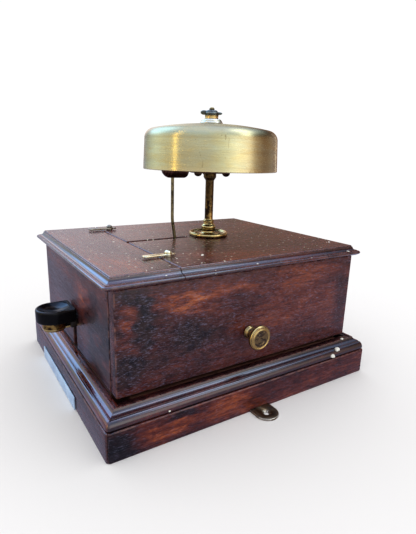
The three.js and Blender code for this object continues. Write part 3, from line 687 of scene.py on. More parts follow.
def base_profile(back):
    """Round bead, fillet, cove and a round-topped ridge, with the ledge behind it."""
    ovolo = arc((4.6, 28.3), (3.9, 6.8), 180, 90, 8)
    turns = (0.0, 0.25, 0.5, 0.75, 1.0, 1.25, 1.45)
    cove = [(4.65 + 5.15 * math.sin(t), 40.0 - 4.2 * math.cos(t), 0.0) for t in turns]
    ridge = [(9.9, 39.9, 0.6), (10.3, 40.0, 1.0), (11.3, 40.0, 0.8), (11.9, 39.6, 0.3), (12.2, 38.9, 0.0)]
    foot = [(2.5, 26.85, 0.0), (2.3, 28.0, 0.0), (1.1, 28.1, 0.2)]
    return [*foot, *ovolo, (4.62, 35.3, 0.7), *cove, *ridge, (back, 38.8, 0.0), (back, 26.85, 0.0)]


SIDES = {
    "front": (0.0, PLINTH_Y, PLINTH_X, PLINTH_Y - CASE_Y - GAP),
    "right": (math.pi / 2, PLINTH_X, PLINTH_Y, PLINTH_X - CASE_X - GAP),
    "rear": (math.pi, PLINTH_Y, PLINTH_X, PLINTH_Y - CASE_Y - GAP),
    "left": (-math.pi / 2, PLINTH_X, PLINTH_Y, PLINTH_X - CASE_X - GAP),
}
lug_recess = box_cutter(-160, 160, -11.8, 11.8, -1, 2.5)
for side, (turn, reach, half, back) in SIDES.items():
    fascia = mitred(
        f"plinth_{side}_board", fascia_profile, turn, reach, half, fascia_wood[side], f"plinth_{side}", 0.35,
    )
    if side in ("left", "right"):
        carve(fascia, [lug_recess])
    mitred(
        f"base_moulding_{side}_length", base_profile(back), turn, reach, half,
        moulding_wood[side], f"base_moulding_{side}",
    )

front_wood = mahogany("mahogany_front_panel", "X", 9.4, [
    ((30, -134, 100), (24, 8, 20), 0.20), ((66, -134, 78), (40, 8, 56), -0.42),
    ((-60, -134, 118), (50, 8, 22), 0.06), ((94, -134, 84), (18, 8, 50), -0.20),
    # The last patch darkens the tapper's slot and the wood round it: painted shade in the slot.
    ((-2.7, -128, 58), (10, 16, 26), -0.60),
], gloss=0.30, painted_glints=0.2)
front_end = DOOR_X - 1.5
board("front_panel_board", [
    (-CASE_X, CASE_BOTTOM), (-8.5, CASE_BOTTOM), (-8.5, 76), (3.1, 76), (3.1, CASE_BOTTOM),
    (front_end, CASE_BOTTOM), (front_end, CASE_TOP), (-CASE_X, CASE_TOP),
], -CASE_Y, -CASE_Y + WALL, "Y", front_wood, "case", ("front_panel",), 0.9)
rear_wall = board(
    "rear_wall_board", rectangle(-CASE_X, DOOR_X, 26.8, CASE_TOP), CASE_Y - WALL, CASE_Y, "Y",
    mahogany("mahogany_rear", "X", 10.3), "case", ("rear_wall",), 0.9,
)
cable_hole = [(0, 118, 0), (8, 118, 0), (8, 133.6, 0), (8.9, 135, 0), (0, 135, 0)]
carve(rear_wall, [lathe_cutter(cable_hole, (62, 0, 60), "Y")])
left_end = CASE_Y - WALL - GAP
board(
    "left_wall_board", rectangle(-left_end, left_end, 26.8, CASE_TOP), -CASE_X, -CASE_X + WALL, "X",
    mahogany("mahogany_left", "Y", 11.9), "case", ("left_wall",), 0.5,
)
panel_wood = mahogany("mahogany_access_panel", "Y", 12.6, [
    ((111, -124, 105), (12, 12, 22), 0.26), ((111, -68, 113), (12, 42, 12), 0.24),
    ((111, -14, 118), (12, 44, 10), 0.20), ((111, -108, 104), (12, 12, 40), -0.40),
    ((111, -120, 126), (12, 22, 10), -0.30), ((111, -66, 82), (12, 26, 20), -0.22),
    ((111, -124, 66), (12, 20, 22), -0.36), ((111, -79, 58), (12, 34, 14), 0.10),
    ((111, 90, 118), (12, 70, 16), 0.10), ((111, 40, 92), (12, 60, 30), 0.06),
    ((111, 124, 92), (12, 16, 50), -0.22), ((111, -22, 72), (12, 18, 14), 0.08),
], painted_glints=0.65, crackle=1.0, shine=0.38, coat=0.1)
board(
    "access_panel_board", rectangle(-CASE_Y, CASE_Y, 41.4, 132.4), CASE_X - WALL, CASE_X, "X",
    panel_wood, "access_panel", ("access_panel",), 1.3,
)


def lid_outline():
    """The lid's moulded edge from the underside up: (inset, height, wear, extra inset at the joint)."""
    rows = [(3.2, 133.0, 0.0, 0.0), (2.3, 133.5, 0.2, 0.0)]
    for degrees in range(-60, 76, 15):
        t = math.radians(degrees)
        rows.append((1.75 - 1.53 * math.cos(t), 135.75 + 1.6 * math.sin(t), 0.5, 0.0))
    rows += [(2.5, 137.42, 0.3, 0.0), (2.75, 137.5, 0.7, 0.0), (2.8, 137.95, 0.3, 0.0)]
    for t in (0.2, 0.45, 0.7, 0.95, 1.2, 1.45):
        rows.append((2.8 + 4.4 * math.sin(t), 141.5 - 3.6 * math.cos(t), 0.0, 0.0))
    return rows + [
        (7.25, 141.55, 0.3, 0.0), (7.85, 141.62, 0.5, 0.0), (8.0, 141.75, 0.1, 0.0), (8.03, 142.3, 0.5, 0.12),
        (8.15, 142.68, 1.0, 0.45), (8.45, 142.92, 1.0, 0.9), (9.1, LID_TOP, 0.35, 1.6),
        (11.0, LID_TOP, 0.0, 3.2),
    ]


def lid(name, node, material, edge, front):
    bm, wear = new_mesh()
    rings = []
    for inset, height, worn, give in lid_outline():
        x, y = LID_X - inset, LID_Y - inset
        blunt = max(0.3, 3.6 - 0.45 * inset)
        bend = [math.pi / 2 * k / 4 for k in range(5)]
        turn = [(x - blunt + blunt * math.sin(t), y - blunt + blunt * math.cos(t), 0) for t in bend]
        if front:
            joint = JOINT_Y - JOINT_GAP - give
            corners = [*[(-u, -v, 0) for u, v, _ in reversed(turn)], *[(u, -v, 0) for u, v, _ in turn]]
            corners += [(x, joint, 1), (-x, joint, 1)]
        else:
            joint = JOINT_Y + JOINT_GAP + give
            ease = give * 0.25
            corners = [
                (-x, joint, 1), (SLOT_X0 - ease, joint, 1), (SLOT_X0 - ease, SLOT_END + ease, 1),
                (SLOT_X1 + ease, SLOT_END + ease, 1), (SLOT_X1 + ease, joint, 1), (x, joint, 1),
                *[(u, v, 0) for u, v, _ in reversed(turn)], *[(-u, v, 0) for u, v, _ in turn],
            ]
        ring = []
        for u, v, inner in corners:
            vert = bm.verts.new((u, v, height))
            vert[wear] = (0.9 if 0.1 < give < 1.5 else 0.0) if inner else worn
            ring.append(vert)
        rings.append(ring)
    loops(bm, rings)
    piece = finish(name, bm, material, "case", (node,), 30.0)
    piece.data.materials.append(edge)
    for face in piece.data.polygons:
        outside = abs(face.center.x) > (LID_X - 11) * MM or abs(face.center.y) > (LID_Y - 11) * MM
        face.material_index = 1 if outside and face.normal.z < 0.97 else 0


lid_edge = mahogany(
    "mahogany_lid_edge", "Y", 16.2, tone=-0.10, gloss=0.13, painted_glints=0.1, shine=0.6, coat=0.9, skin=0.13,
)
lid_front_wood = mahogany("mahogany_lid_front", "X", 13.3, [
    ((60, -100, 143), (50, 22, 8), 0.10), ((-70, -110, 143), (40, 30, 8), 0.04),
    ((10, -92, 143), (40, 12, 8), -0.06),
], tone=0.03, specks=0.60, gloss=0.24)
lid_rear_wood = mahogany("mahogany_lid_rear", "Y", 14.8, [
    ((80, -20, 143), (26, 60, 8), 0.06), ((40, 80, 143), (60, 50, 8), -0.05),
], tone=0.01, specks=1.0, gloss=0.22)
lid("lid_front_section", "lid_front", lid_front_wood, lid_edge, True)
lid("lid_rear_section", "lid_rear", lid_rear_wood, lid_edge, False)

for material, nodes in (
    (bare_wood("stained_boards", "Y", 1.0), ("baseboard", "right_sill")),
    (bare_wood("stained_sill", "X", 2.0), ("front_sill",)),
    (bare_wood("stained_battens", "Z", 3.0), ("panel_batten_front", "panel_batten_rear")),
    (METAL["soft_iron"], ("magnet_yoke", "armature", "pivot_pin", "tapper_pin")),
    (METAL["interior_brass"], ("armature_lever",)),
    (METAL["bracket_brass"], ("pivot_bracket", "tapper_bracket")),
):
    for node in nodes:
        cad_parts[node].data.materials.clear()
        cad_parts[node].data.materials.append(material)

# ---------- brass on the case ----------

# The left latch gets a darker brass than the right one: painted shade, for the darker surroundings it reflects.
latch_brass = {"right": METAL["pale_brass"], "left": METAL["latch_brass_painted_dark"]}


def screw(name, x, y, depth, profile, material, node, turn, width):
    """A turned screw in the case, with a cut across its head."""
    top = max(height for _, height, _ in profile)
    piece = turned(name, profile, (x, y, 0), material, "case", (node,), sides=36)
    carve(piece, [box_cutter(-6, 6, -width / 2, width / 2, top - depth, top + 1, turn, (x, y))])


def latch_outline():
    tongue = [(2.3, -3.6), (2.5, -9.0), (3.1, -18.0)]
    tip = arc((0, -21.8), (3.2, 3.2), 0, -180, 10)
    left = [(-u, v) for u, v in reversed(tongue)]
    boss_left = [(3.8 * math.cos(t), 3.8 * math.sin(t)) for t in (3.9, 3.5, 3.0, 2.6, 2.25)]
    tail = [(-2.3, 3.8), (-2.2, 6.0), (-1.2, 7.7), (0.0, 8.0), (1.2, 7.7), (2.2, 6.0), (2.3, 3.8)]
    boss_right = [(3.8 * math.cos(t), 3.8 * math.sin(t)) for t in (0.9, 0.55, 0.1, -0.35, -0.75)]
    return [*tongue, *tip, *left, *boss_left, *tail, *boss_right]


for side, x in LATCHES.items():
    bm, wear = new_mesh()
    slab(bm, wear, [(x + u, LATCH_Y + v) for u, v, *_ in latch_outline()], 144.0, 145.9, "Z", 0.4, 2)
    spacer = [(1.9, 143.3, 0), (3.6, 143.3, 0.3), (3.6, 144.2, 0), (1.9, 144.2, 0)]
    lathe(bm, wear, spacer, (x, LATCH_Y, 0), closed=True, sides=32)
    finish(f"latch_{side}_button", bm, latch_brass[side], f"latch_{side}", (f"latch_{side}",))
    head = [(0, 146.25, 0), (3.3, 146.25, 0), *arc((0, 146.4), (3.4, 2.7), 0, 84, 8), (0, 149.1, 0)]
    head = [(r, z, 0.6 if z > 148 else 0.0) for r, z, _ in head]
    shank = [(0, 143.3, 0), (1.4, 143.3, 0), (1.4, 146.25, 0)]
    screw(
        f"latch_{side}_screw", x, LATCH_Y, 1.0, shank + head[1:], latch_brass[side],
        f"latch_screw_{side}", {"right": 0.9, "left": 2.2}[side], 0.8,
    )

side_knob = soften([
    (0, 0.3), (6.4, 0.3, 0.3), (6.4, 1.6, 0.5), (4.9, 3.4, 1.6), (4.2, 7.0, 3.0), (4.7, 10.4, 2.0),
    (9.0, 12.8, 2.4), (11.7, 14.2, 1.0), (11.7, 17.0, 1.2), (10.3, 18.2, 0.5), (9.6, 17.7, 0.3),
    (8.9, 17.7, 0.3), (8.4, 18.3, 0.4), (5.9, 18.6, 0.3), (5.3, 18.3, 0.2), (4.9, 18.3, 0.2),
    (4.6, 18.7, 0.3), (1.3, 18.9, 0.2), (0.9, 18.2, 0.2), (0, 18.1),
], steps=4)
side_knob = [(r, h, -1.0 if r < 8.2 and h > 15 else w * (1.0 if r > 7.0 else 0.8)) for r, h, w in side_knob]
turned(
    "access_knob", side_knob, (CASE_X, -3, 72.6), METAL["knob_brass"], "access_panel",
    ("side_knob",), axis="X", sides=72,
)

countersink = [(0, -1, 0), (2.4, -1, 0), (2.4, 0.5, 0), (4.8, 2.25, 0), (5.4, 3.2, 0), (0, 3.2, 0)]
for side, sign in (("right", 1), ("left", -1)):
    outline = [(104.0, -11.5), *arc((140.1, 0), (11.5, 11.5), -90, 90, 20), (104.0, 11.5)]
    lug = board(
        f"lug_{side}_plate", [(sign * u, v) for u, v, *_ in outline], 0.0, 2.2, "Z", METAL["lug_brass"],
        "case", (f"lug_{side}",), 0.45,
    )
    carve(lug, [lathe_cutter(countersink, (sign * 140.5, 0, 0))])

bm, wear = new_mesh()
slab(bm, wear, rectangle(-78, 46, 0.4, 13.4), -151.5, -150.3, "Y", 0.35, 2)
pin_head = [(1.5 * math.cos(t), -151.4 - 0.3 * math.sin(t), 0.8) for t in (0.2, 0.7, 1.2)]
pin = [(0, -150.6, 0), (1.5, -150.6, 0), (1.4, -151.5, 0.4), *pin_head, (0, -151.7, 0.8)]
for x in (-74.5, 42.5):
    lathe(bm, wear, pin, (x, 0, 6.9), "Y", 20)
finish("label_plate_sheet", bm, dull_plate("dull_plate"), "case", ("label_plate",))

# ---------- pillar and gong ----------

RIM, RIM_R, WALL_TOP, TOP_R, SHOULDER, RISE, SHEET = 216.3, 74.0, 248.6, 72.5, 10.7, 6.1, 2.4
corner = TOP_R - SHOULDER
slope = math.atan2(2 * RISE * corner, corner * corner - RISE * RISE)
cap_radius = corner / math.sin(slope)
cap_centre = WALL_TOP + SHOULDER * math.cos(slope) - (cap_radius + SHOULDER) * math.cos(slope)


def gong_side(inward):
    """The bell's wall, shoulder and cap, from the rim to the middle, moved in by the sheet's thickness."""
    rows = [(RIM_R - inward - 1.5 * k / 6, RIM + (WALL_TOP - RIM) * k / 6, 0.0) for k in range(1, 7)]
    bend = SHOULDER - inward
    for k in range(1, 13):
        angle = (math.pi / 2 - slope) * k / 12
        rows.append((corner + bend * math.cos(angle), WALL_TOP + bend * math.sin(angle), 0.0))
    dome = cap_radius + SHOULDER - inward
    for k in range(9, 0, -1):
        angle = slope * k / 10
        rows.append((dome * math.sin(angle), cap_centre + dome * math.cos(angle), 0.0))
    return rows, cap_centre + dome


outer, CROWN = gong_side(0.0)
inner, UNDER = gong_side(SHEET)
rim = [
    (RIM_R - SHEET + 0.1, RIM + 0.5, 0.0), (RIM_R - SHEET + 0.6, RIM + 0.05, 0.6),
    (RIM_R - 0.7, RIM + 0.05, 1.0), (RIM_R - 0.1, RIM + 0.6, 1.0),
]
bore = STUD + GAP
turned(
    "gong_bell", [*rim, *outer, (bore, CROWN, 0.0), (bore, UNDER, 0.0), *reversed(inner)], (*BELL, 0),
    brushed_gong("brushed_gong_brass"), "case", ("gong",), sides=160, closed=True, angle=30.0,
)


def around_bell(radius, first, k):
    """The middle of number k of three things set round the bell's axis."""
    angle = first + 2 * math.pi * k / 3
    return BELL[0] + radius * math.cos(angle), BELL[1] + radius * math.sin(angle)


FOOT = LID_TOP + GAP
pillar_profile = soften([
    (0, FOOT), (21.6, FOOT, 0.4), (22.4, FOOT + 1.0, 0.8), (22.4, FOOT + 2.8, 1.0), (21.4, FOOT + 4.2, 0.8),
    (20.0, FOOT + 4.0, 0.7), (19.0, FOOT + 2.2, 0.8), (9.6, FOOT + 2.2, 0.8), (8.0, FOOT + 3.2, 0.6),
    (7.4, FOOT + 4.4, 1.0), (7.4, FOOT + 7.4, 0.8), (8.3, FOOT + 8.6, 0.7), (8.3, FOOT + 10.6, 0.9),
    (6.6, FOOT + 12.2, 1.4), (5.6, FOOT + 15.0, 0.6), (6.3, FOOT + 15.7, 0.4), (6.3, FOOT + 17.0, 0.5),
    (4.7, FOOT + 18.0, 0.9), (4.7, 205.4, 2.0), (6.1, 207.2, 1.4), (7.1, 208.6, 0.9), (7.1, 213.1, 0.4),
    (5.0, 213.1, 0.1), (5.0, UNDER - 8.0, 0.3), (7.0, UNDER - 6.0, 0.5), (7.0, UNDER - 0.3, 0.2),
    (STUD, UNDER - 0.3, 0.1), (STUD, 275.0, 0.1), (STUD - 0.1, 276.4),
], steps=4)
pillar_profile = [(r, z, w if z < FOOT + 20 or z > 270 else w * 0.2) for r, z, w in pillar_profile]
threads = []
for k in range(6):
    z = 276.6 + 0.8 * k
    threads += [(STUD, z, 0.3), (STUD - 0.35, z + 0.4, 0.0)]
tip = [(STUD - 0.4, 281.5, 0.3), (1.9, 282.3, 0.5), (0, 282.6, 0.4)]
turned(
    "gong_pillar_turned", [*pillar_profile, *threads, *tip], (*BELL, 0), METAL["pillar_brass"], "case",
    ("gong_pillar",), sides=56,
)
seat = FOOT + 2.25
dome = [(2.7 * math.cos(t), seat + 0.2 + 1.65 * math.sin(t), 0.5) for t in (0.0, 0.3, 0.6, 0.9, 1.2, 1.5)]
for k in range(3):
    x, y = around_bell(15.6, 0.35, k)
    screw(
        f"flange_{k + 1}_screw", x, y, 0.7, [(0, seat, 0), (2.6, seat, 0), *dome, (0, seat + 1.86, 0.5)],
        METAL["pillar_brass"], f"flange_screw_{k + 1}", 0.8 + 1.3 * k, 0.6,
    )

bm, wear = new_mesh()
seat_plate = soften([(5.3, 213.4), (22.5, 213.4, 0.8), (22.5, 216.4, 0.6), (5.3, 216.4)], closed=True)
lathe(bm, wear, seat_plate, (*BELL, 0), closed=True, sides=72)
round_end = [(0, 214.0, 0), (4.4, 214.0, 0), *arc((0, 213.6), (4.4, -3.8), 0, 90, 8)]
for k in range(3):
    lathe(bm, wear, round_end, (*around_bell(18.4, 0.73, k), 0), sides=32)
finish("gong_seat_plate", bm, METAL["dark_brass"], "case", ("gong_seat",))

washer_foot = CROWN + GAP
turned("gong_cone_washer", soften([
    (bore, 0), (12.4, 0, 0.3), (12.2, 1.0, 0.8), (10.4, 3.9, 0.9), (9.3, 4.6, 0.5), (bore, 4.6),
], closed=True, steps=4), (*BELL, washer_foot), METAL["bright_washer"], "case",
    ("gong_washer",), closed=True, sides=72)
sleeve_foot = washer_foot + 4.6 + GAP
turned("gong_sleeve_ring", soften([
    (bore, 0), (7.4, 0, 0.4), (7.0, 1.6, 0.9), (7.5, 3.2, 0.4), (bore, 3.2),
], closed=True), (*BELL, sleeve_foot), METAL["lacquered_brass"], "case",
    ("gong_sleeve",), closed=True, sides=64)

nut_foot = sleeve_foot + 3.2 + GAP
bm, wear = new_mesh()
lathe(bm, wear, soften([
    (bore, 0), (7.5, 0, 0.5), (7.5, 2.6, 1.0), (5.6, 5.0, 0.8), (4.6, 5.4, 0.4), (bore, 5.4),
], closed=True), (0, 0, 0), closed=True, sides=48)
for reach, height, thick, rise in ((-8.2, 2.9, 2.2, 2.3), (7.2, 2.2, 1.7, 1.5)):
    slab(bm, wear, arc((reach, height), (4.1, rise), 0, 342, 19), -thick, thick, "Y", 0.9, 3)
bmesh.ops.rotate(bm, cent=(0, 0, 0), matrix=Matrix.Rotation(math.radians(57), 3, "Z"), verts=bm.verts)
bmesh.ops.translate(bm, vec=(*BELL, nut_foot), verts=bm.verts)
finish("gong_wing_nut", bm, METAL["nut_steel"], "case", ("wing_nut",))

# ---------- hammer ----------

KINK_Y, KINK_Z, LEAN = -22.7, 163.0, -0.165  # the rod's bend, and its slope below the bend
head_profile = soften([
    (0, -35.2), (2.4, -34.8, 1.0), (4.8, -33.0, 1.6), (6.8, -30.6, 1.6), (7.9, -27.8, 1.6),
    (8.0, -9.0, 1.0), (7.2, -6.8, 1.0), (4.8, -5.4, 0.8), (0, -5.4),
], steps=4)
turned(
    "hammer_head_turned", head_profile, (BELL[0], 0, 216), METAL["hammer_brown"], "hammer",
    ("hammer_head",), axis="Y", sides=64,
)
rod_path = [(KINK_Y + (z - KINK_Z) * LEAN, z) for z in [104.5 + 3.0 * k for k in range(19)]]
rod_path += [(KINK_Y - LEAN * 4.5 * (1 - t) ** 2, 158.5 + 9.0 * t) for t in (0.25, 0.5, 0.75)]
rod_path += [(KINK_Y, z) for z in (168.0, 180.0, 192.0, 204.0, 210.0, 214.0)]
rod_path = [(BELL[0], y, z) for y, z in rod_path]
wire("hammer_wire", rod_path, 1.65, METAL["rod_metal"], "hammer", ("hammer_rod",), 16)

# ---------- magnet, springs and stop ----------

black = ebonite("polished_ebonite")
silk = wound_silk("green_silk_winding")
for side, x in (("left", BELL[0] - 19.0), ("right", BELL[0] + 19.0)):
    turned(f"bobbin_{side}_spool", soften([
        (5.3, 30.0), (16.0, 30.0, 0.6), (16.0, 33.5, 0.6), (6.9, 33.5, 0.3), (6.9, 82.5, 0.3), (16.0, 82.5, 0.6),
        (16.0, 86.0, 0.6), (5.3, 86.0),
    ], closed=True), (x, -38, 0), black, "case", (f"bobbin_{side}",), closed=True, sides=64)
    turned(f"winding_{side}_silk", soften([
        (7.2, 33.8), (14.2, 33.8, 0.8), (14.6, 58.0, 4.0), (14.2, 82.2, 0.8), (7.2, 82.2),
    ], closed=True), (x, -38, 0), silk, "case", (f"winding_{side}",), closed=True, sides=64)


def coil(x, y, radius, low, high, turns, hook=0.0):
    """A coil spring's centre line, with closed ends and, where asked, a straight shank above it."""
    path = []
    steps = int(turns * 20)
    for k in range(steps + 1):
        t = k / steps
        angle = 2 * math.pi * turns * t
        z = low + (high - low) * (t + 0.03 * math.sin(2 * math.pi * t))
        path.append((x + radius * math.cos(angle), y + radius * math.sin(angle), z))
    if hook:
        path += [(x, y, high + 0.6), (x, y, high + hook)]
    return path


wire(
    "tapper_coil", coil(TAPPER_X, -102, 4.6, 23.3, 62.9, 9), 0.7, METAL["spring_steel"], "case",
    ("tapper_spring",), 10,
)
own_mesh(bpy.data.objects["tapper_coil"])
wire(
    "armature_coil", coil(BELL[0], 4, 3.4, 27.2, 95.8, 16, 5.6), 0.6, METAL["spring_steel"], "case",
    ("armature_spring",), 8,
)


def post(name, node, points, x, y, sides=40):
    """A turned brass post inside the case."""
    place = (x, y, 0)
    turned(name, soften(points), place, METAL["interior_brass"], "case", (node,), sides=sides)


post("stop_post_turned", "stop_post", [
    (0, 26.6), (4.6, 26.6, 0.4), (4.6, 30.3, 0.5), (2.6, 31.3, 0.5), (2.6, 92.0, 0.3), (3.4, 92.6, 0.3),
    (3.4, 96.5, 0.3), (0, 96.5),
], BELL[0], 14)

# ---------- tapper ----------

KNOB_R, KNOB_TOP, KNOB_BACK = 16.3, 86.0, -135.7
half_outline = [(KNOB_R, KNOB_BACK - 2.0), (KNOB_R - 0.6, KNOB_BACK - 0.6), (KNOB_R - 2.0, KNOB_BACK)]
outline = [(TAPPER_X + u, v) for u, v in half_outline]
outline += [(TAPPER_X - u, v) for u, v in reversed(half_outline)]
outline += arc((TAPPER_X, KNOB_Y), (KNOB_R, KNOB_R), 180, 360, 40)
knob_rows = [
    (2.0, 73.5, 0), (0.5, 73.55, 0.2), (0.05, 74.2, 0.2), (0.0, 75.0, 0), (0.0, 84.2, 0), (0.2, 85.2, 0.4),
    (0.7, 85.85, 1.0), (1.3, KNOB_TOP, 0.6),
]
bm, wear = new_mesh()
rings = []
middle = Vector((TAPPER_X, -150.0))
for inset, height, worn in knob_rows:
    ring = []
    for u, v, *_ in outline:
        spot = middle + (Vector((u, v)) - middle) * (1 - inset / KNOB_R)
        vert = bm.verts.new((spot.x, spot.y, height))
        vert[wear] = worn
        ring.append(vert)
    rings.append(ring)
loops(bm, rings)
back_half = KNOB_R - 0.3
back = rectangle(TAPPER_X - back_half, TAPPER_X + back_half, -141.7, -135.9)
slab(bm, wear, back, 68.0, 76.0, "Z", 0.8, 2)
knob = finish("tapper_knob_moulded", bm, black, "tapper", ("tapper_knob",), 30.0)
DISH_R, DISH = 14.3, 3.4
ball = (DISH_R ** 2 + DISH ** 2) / (2 * DISH)
turns = [math.asin((DISH_R - 0.4) / ball) * k / 10 for k in range(11)]
bowl = [(ball * math.sin(t), KNOB_TOP - DISH + ball * (1 - math.cos(t)), 0) for t in turns]
bowl += [(DISH_R, 85.98, 0), (DISH_R + 0.3, 86.2, 0), (DISH_R + 0.4, 88.0, 0), (0, 88.0, 0)]
carve(knob, [
    lathe_cutter(bowl, (TAPPER_X, KNOB_Y, 0), sides=72),
    box_cutter(TAPPER_X - 4.5, TAPPER_X + 4.5, -144, -134, 66, 71.9),
])

bm, wear = new_mesh()
slab(bm, wear, rectangle(TAPPER_X - 4, TAPPER_X + 4, -148, -58), 63.9, 71.6, "Z", 0.6, 2)
round_end = soften([(0, 63.9), (10.4, 63.9, 0.9), (11.0, 66.0, 0.8), (11.0, 73.2, 0.3), (0, 73.2)], steps=4)
lathe(bm, wear, round_end, (TAPPER_X, KNOB_Y, 0), sides=64)
contact = soften([(0, 59.9), (2.4, 59.9, 0.5), (2.4, 64.9, 0.1), (0, 64.9)])
lathe(bm, wear, contact, (TAPPER_X, ANVIL_Y, 0), sides=32)
lever = finish("tapper_bar", bm, METAL["tapper_brass"], "tapper", ("tapper_lever",))
pin_hole = [(0, -30, 0), (2.1, -30, 0), (2.1, 30, 0), (0, 30, 0)]
carve(lever, [lathe_cutter(pin_hole, (TAPPER_X, -84, 67), "X")])

post("contact_anvil_turned", "contact_anvil", [
    (0, 22.3), (6, 22.3, 0.4), (6, 26.3, 0.5), (3.6, 28.3, 0.6), (3.6, 54.9, 0.5), (2.6, 57.3, 0.4), (0, 57.3),
], TAPPER_X, ANVIL_Y)
post("back_stop_turned", "tapper_back_stop", [
    (0, 22.3), (5.4, 22.3, 0.4), (5.4, 26.3, 0.5), (3.0, 27.9, 0.5), (3.0, 63.6, 0.5), (0, 63.6),
], TAPPER_X, -64)

# ---------- terminals ----------

board(
    "terminal_block_moulded", rectangle(-50, 50, 94, 114), 22.3, 32.3, "Z", black, "case",
    ("terminal_block",), 0.8,
)
for k in range(3):
    post(f"terminal_{k + 1}_post", f"terminal_{k + 1}", [
        (0, 32.6), (6, 32.6, 0.3), (6, 34.6, 0.5), (4, 35.6, 0.4), (4, 44.6, 0.5), (3, 45.6, 0.3),
        (3, 46.6, 0.3), (6.4, 47.6, 0.6), (6.4, 51.6, 0.7), (2.4, 53.0, 0.4), (2.4, 56.6, 0.3), (0, 57.2),
    ], 34.0 * (k - 1), 104, 48)

# ---------- paint drops on the varnish ----------

drop_paint = paint_drop("dried_paint")


def drops(name, spots, rise=0.24):
    """Flattened drops of paint: (x, y, z, size, length for its width, turn in radians)."""
    bm, _ = new_mesh()
    for x, y, z, size, stretch, turn in spots:
        made = bmesh.ops.create_uvsphere(bm, u_segments=14, v_segments=8, radius=1.0)["verts"]
        for vert in made:
            wobble = 1.0 + 0.12 * math.sin(3 * vert.co.x + 5 * vert.co.y + 9 * turn)
            u, v = vert.co.x * size * wobble, vert.co.y * size * stretch * wobble
            vert.co = Vector((
                x + u * math.cos(turn) - v * math.sin(turn), y + u * math.sin(turn) + v * math.cos(turn),
                z + vert.co.z * min(rise, size * 0.8),
            ))
    finish(name, bm, drop_paint, "case", (), 60.0)


on_lid = [
    (78, -36, 1.3, 2.4, 0.9), (-12, -88, 1.2, 1.2, 0.3), (66, -97, 0.7, 1.2, 0.5), (99, -97, 0.7, 1.1, 0.2),
    (104, -104, 0.5, 1.0, 0.7), (80, -64, 0.7, 1.5, 0.4), (65, -49, 0.6, 1.3, 0.9), (68, -43, 0.5, 1.2, 0.1),
    (41, -60, 0.6, 1.0, 0.6), (6, -86, 0.6, 1.3, 0.8), (1, -119, 0.5, 1.4, 0.4), (-51, -89, 0.5, 1.0, 0.2),
    (103, -52, 0.6, 1.8, 0.7), (85, 126, 1.2, 1.2, 0.5), (30, 60, 0.5, 1.3, 0.4),
]
on_lid_edge = [
    (113, 1, 138.6, 1.0, 1.1, 0.3), (113.6, 124, 138.5, 1.6, 1.1, 0.5), (115.5, -46, 135.9, 0.7, 1.3, 0.2),
    (112.4, -91, 139.3, 0.8, 1.2, 0.4), (107, -31, 143.0, 0.7, 1.2, 0.6),
]
drops("paint_drops_on_lid", [(x, y, LID_TOP + 0.05, *rest) for x, y, *rest in on_lid] + on_lid_edge)
drops("paint_drops_on_moulding", [
    (127.3, 107, 34.9, 2.7, 1.35, 0.4), (128.6, 99, 30.0, 2.8, 1.4, 0.9), (119.0, 124, 39.9, 1.5, 1.2, 0.1),
    (129.2, -96, 29.0, 0.9, 1.2, 0.5),
], rise=2.0)

# ---------- floor and camera ----------

bm = bmesh.new()
bmesh.ops.create_grid(bm, x_segments=2, y_segments=2, size=30.0)
mesh = bpy.data.meshes.new("floor")
bm.to_mesh(mesh)
bm.free()
floor = bpy.data.objects.new("floor", mesh)
bpy.context.scene.collection.objects.link(floor)
pale = Graph("pale_floor")
floor_colour = pale.mix(pale.noise(pale.place, 3.0, 3.0, 0.5), (0.72, 0.72, 0.72), (0.76, 0.76, 0.76))
pale.set(Base_Color=floor_colour, Roughness=0.9, Specular_IOR_Level=0.0)
mesh.materials.append(pale.material)
floor.visible_glossy = False

CAMERA_PLACE = (0.39498, -0.23646, 0.23069)  # metres
CAMERA_AZIMUTH, CAMERA_PITCH, CAMERA_ROLL = 56.85, 14.78, 1.75  # degrees: left of +Y, down, right side up
CAMERA_LENS, SENSOR = 28.12, 36.0

camera_data = bpy.data.cameras.new("camera")
camera_data.sensor_width = SENSOR
camera_data.lens = CAMERA_LENS
camera_data.clip_start = 0.01
camera = bpy.data.objects.new("camera", camera_data)
bpy.context.scene.collection.objects.link(camera)
azimuth, pitch, roll = (math.radians(angle) for angle in (CAMERA_AZIMUTH, CAMERA_PITCH, CAMERA_ROLL))
ahead = Vector((-math.sin(azimuth), math.cos(azimuth), 0.0))
forward = ahead * math.cos(pitch) - Vector((0.0, 0.0, math.sin(pitch)))
level = Vector((math.cos(azimuth), math.sin(azimuth), 0.0))
upright = level.cross(forward)
right = math.cos(roll) * level + math.sin(roll) * upright
up = -math.sin(roll) * level + math.cos(roll) * upright
camera.matrix_world = Matrix.Translation(CAMERA_PLACE) @ Matrix((right, up, -forward)).transposed().to_4x4()
bpy.context.scene.camera = camera

# ---------- light ----------

